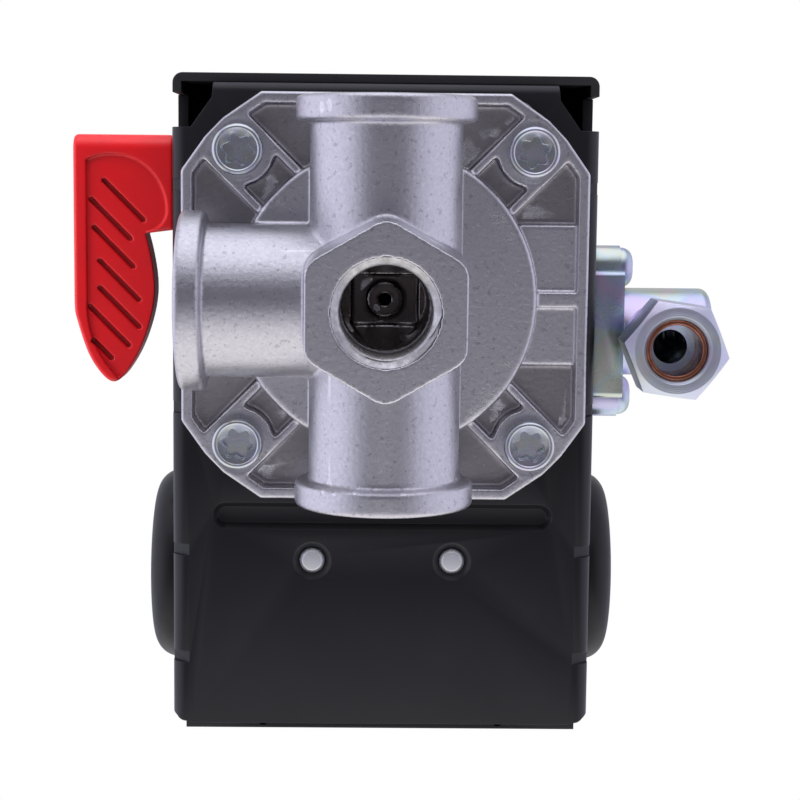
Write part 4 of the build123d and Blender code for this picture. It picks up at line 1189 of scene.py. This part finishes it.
@dataclass
class Unloader:
    """The unloader valve on the right wall."""

    shop: Workshop

    def build(self) -> None:
        """Eases the plated pieces and gives the nut its turned face."""
        low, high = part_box("tube_sleeve")
        centre = tuple((low + high) / 2)
        turned = PlatedFinish(
            "turned_zinc", "zinc_passivate", (0.92, 0.92, 1.0), (0.7, 0.7, 0.8),
            rough=(0.33, 0.42), metallic=1.0, grain_mm=0.35, bump_mm=0.005, patch_mm=14.0, tint=0.4,
            centre=centre, pitch_mm=0.24, ring_mm=0.010,
        )
        self.shop.eased("unloader_body", PASSIVATE, 0.25)
        self.shop.eased("unloader_screws", PASSIVATE, 0.15)
        self.shop.eased("compression_nut", turned, 0.1)
        self.shop.dress(COPPER, "tube_sleeve")
        self.shop.dress(FIBRE, "unloader_gasket")
        self.shop.dress(BRASS, "unloader_stem")
        self.shop.dress(SPRING_WIRE, "valve_spring")


@dataclass
class Mechanism:
    """Everything between the diaphragm and the contacts."""

    shop: Workshop

    def build(self) -> None:
        """Dresses the mechanism and the contact block."""
        dress = self.shop.dress
        dress(MACHINED, "piston")
        dress(PRESSED_ZINC, "pivot_bracket", "pivot_pin", "pressure_plate", "spring_seats")
        dress(BRIGHT_ZINC, "spring_studs", "range_nut", "difference_nut")
        dress(BRIGHT_ZINC, "terminal_washers", "terminal_screws")
        self.shop.eased("block_screws", ROLLED_TIP, 0.1)
        dress(SPRING_WIRE, "range_spring", "difference_spring", "bridge_springs")
        dress(PHENOLIC, "contact_block")
        dress(BRASS, "terminal_plates", "contact_bridges")
        dress(SILVER, "fixed_contacts")
        dress(NYLON, "contact_carrier")


def recalculate(mesh: bpy.types.Mesh) -> None:
    """Turns a closed mesh's faces outwards."""
    shape = bmesh.new()
    shape.from_mesh(mesh)
    bmesh.ops.recalc_face_normals(shape, faces=shape.faces)
    shape.to_mesh(mesh)
    shape.free()


# ---- studio -------------------------------------------------------------------------------------


@dataclass(frozen=True)
class Glow:
    """A soft glow in the room round the switch, seen in reflections.

    Attributes:
        towards: its direction from the switch.
        core: out to this many degrees it is at full strength.
        edge: at this many degrees it has faded away.
        colour: its radiance.
    """

    towards: tuple[float, float, float]
    core: float
    edge: float
    colour: Colour


GLOWS = (
    Glow((-1.0, 0.0, 0.12), 14.0, 84.0, (0.80, 0.80, 0.98)),
    Glow((1.0, 0.0, 0.12), 10.0, 86.0, (0.66, 0.65, 0.80)),
    Glow((0.0, 1.0, -1.0), 12.0, 46.0, (0.66, 0.65, 0.73)),
    Glow((0.0, 1.0, -0.05), 40.0, 78.0, (0.88, 0.86, 0.90)),
    Glow((0.0, -1.0, -0.05), 8.0, 62.0, (1.05, 1.05, 1.22)),
    Glow((0.0, 0.0, 1.0), 30.0, 90.0, (0.50, 0.50, 0.55)),
)


@dataclass
class Studio:
    """A pale floor, soft boxes and the camera under the switch."""

    camera_place: tuple[float, float, float] = (-1.654 * MM, -16.521 * MM, -228.065 * MM)
    tilt: float = -0.118
    pan: float = 0.015
    roll: float = -0.009
    lens_mm: float = 85.1
    room: Colour = (0.118, 0.114, 0.140)
    floor_gap: float = 0.2 * MM
    glows: tuple[Glow, ...] = GLOWS

    def build(self) -> None:
        """Sets up the world, the floor, the lights and the camera."""
        self.world()
        self.floor()
        self.lights()
        self.camera()
        bpy.context.scene.view_settings.view_transform = "Standard"

    def world(self) -> None:
        """A white backdrop for the camera, and a room of soft glows for reflections."""
        world = bpy.data.worlds.new("studio")
        bpy.context.scene.world = world
        g = blank(world)
        path = g.node("ShaderNodeLightPath")
        seen = g.node("ShaderNodeBackground", {0: (1.0, 1.0, 1.0, 1.0), 1: 1.0})
        way = g.node("ShaderNodeTexCoord").outputs["Generated"]
        glow: object = g.node("ShaderNodeRGB").outputs[0]
        glow.default_value = rgba(self.room)
        for lobe in self.glows:
            facing = g.vector("DOT_PRODUCT", way, Vector(lobe.towards).normalized())
            edge, core = math.cos(math.radians(lobe.edge)), math.cos(math.radians(lobe.core))
            share = g.node(
                "ShaderNodeMapRange",
                {0: facing.outputs["Value"], 1: edge, 2: core, 3: 0.0, 4: 1.0},
                interpolation_type="SMOOTHSTEP",
            )
            light = g.mix(share.outputs[0], (0.0, 0.0, 0.0), lobe.colour)
            brighter = g.node("ShaderNodeMix", data_type="RGBA", blend_type="LIGHTEN")
            brighter.inputs[0].default_value = 1.0
            g.tree.links.new(glow, brighter.inputs[6])
            g.tree.links.new(light, brighter.inputs[7])
            glow = brighter.outputs[2]
        room = g.node("ShaderNodeBackground", {0: glow, 1: 1.0})
        both = g.node(
            "ShaderNodeMixShader",
            {0: path.outputs["Is Camera Ray"], 1: room.outputs[0], 2: seen.outputs[0]},
        )
        out = g.node("ShaderNodeOutputWorld", {0: both.outputs[0]})
        out.is_active_output = True

    def floor(self) -> None:
        """A one-sided floor at the inlet port's mouth, seen only by the camera."""
        shape = bmesh.new()
        bmesh.ops.create_grid(shape, x_segments=1, y_segments=1, size=3.0)
        for vertex in shape.verts:
            vertex.co.z = -self.floor_gap
        mesh = mesh_of(shape, "floor")
        floor = linked("floor", mesh)
        material = bpy.data.materials.new("pale_floor")
        g = blank(material)
        paper = g.node("ShaderNodeBsdfDiffuse", {"Color": (0.86, 0.86, 0.87, 1.0)})
        clear = g.node("ShaderNodeBsdfTransparent")
        facing = g.node("ShaderNodeNewGeometry").outputs["Backfacing"]
        both = g.node("ShaderNodeMixShader", {0: facing, 1: paper.outputs[0], 2: clear.outputs[0]})
        g.node("ShaderNodeOutputMaterial", {0: both.outputs[0]})
        mesh.materials.append(material)
        for ray in ("visible_shadow", "visible_diffuse", "visible_glossy", "visible_transmission"):
            setattr(floor, ray, False)

    def soft_box(
        self, name: str, place: Vector, target: Vector, size: tuple[float, float], watts: float
    ) -> None:
        """Hangs one soft box.

        Args:
            name: the light's name.
            place: where its middle is.
            target: what it faces.
            size: its width and height.
            watts: its power.
        """
        data = bpy.data.lights.new(name, "AREA")
        data.shape = "RECTANGLE"
        data.size, data.size_y = size
        data.energy = watts
        light = linked(name, data)
        light.location = place
        light.rotation_euler = (target - place).to_track_quat("-Z", "Y").to_euler()
        light.visible_camera = False
        light.visible_glossy = False

    def lights(self) -> None:
        """Soft boxes round the underside, and one over the cover."""
        middle = Vector((0, 0.01, 0.03))
        self.soft_box("left_box", Vector((-0.42, 0.0, 0.0)), middle, (0.5, 0.6), 4.2)
        self.soft_box("right_box", Vector((0.42, 0.0, 0.0)), middle, (0.5, 0.6), 2.6)
        self.soft_box("front_box", Vector((0.0, -0.42, -0.02)), middle, (0.7, 0.4), 4.4)
        self.soft_box("back_box", Vector((0.0, 0.42, -0.05)), middle, (0.7, 0.4), 2.0)
        self.soft_box("top_box", Vector((0.1, -0.25, 0.6)), middle, (0.6, 0.6), 12.0)

    def camera(self) -> None:
        """Puts the camera under the switch, looking up with the front at the top of the view."""
        turn = (
            Matrix.Rotation(self.tilt, 4, "X")
            @ Matrix.Rotation(self.pan, 4, "Y")
            @ Matrix.Rotation(self.roll, 4, "Z")
        )
        looking_up = Matrix(((1, 0, 0, 0), (0, -1, 0, 0), (0, 0, -1, 0), (0, 0, 0, 1)))
        data = bpy.data.cameras.new("camera")
        data.lens = self.lens_mm
        data.sensor_width = 36.0
        data.clip_start, data.clip_end = 0.01, 10.0
        camera = linked("camera", data)
        camera.matrix_world = Matrix.Translation(self.camera_place) @ turn @ looking_up
        bpy.context.scene.camera = camera


def main() -> None:
    """Builds the switch's looks and its studio, in order."""
    logging.basicConfig(level=logging.INFO)
    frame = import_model()
    shop = Workshop(frame)
    Studio().build()
    for assembly in (Manifold, SwitchBox, OffLever, Conduits, Unloader, Mechanism):
        assembly(shop).build()


if __name__ == "__main__":
    main()
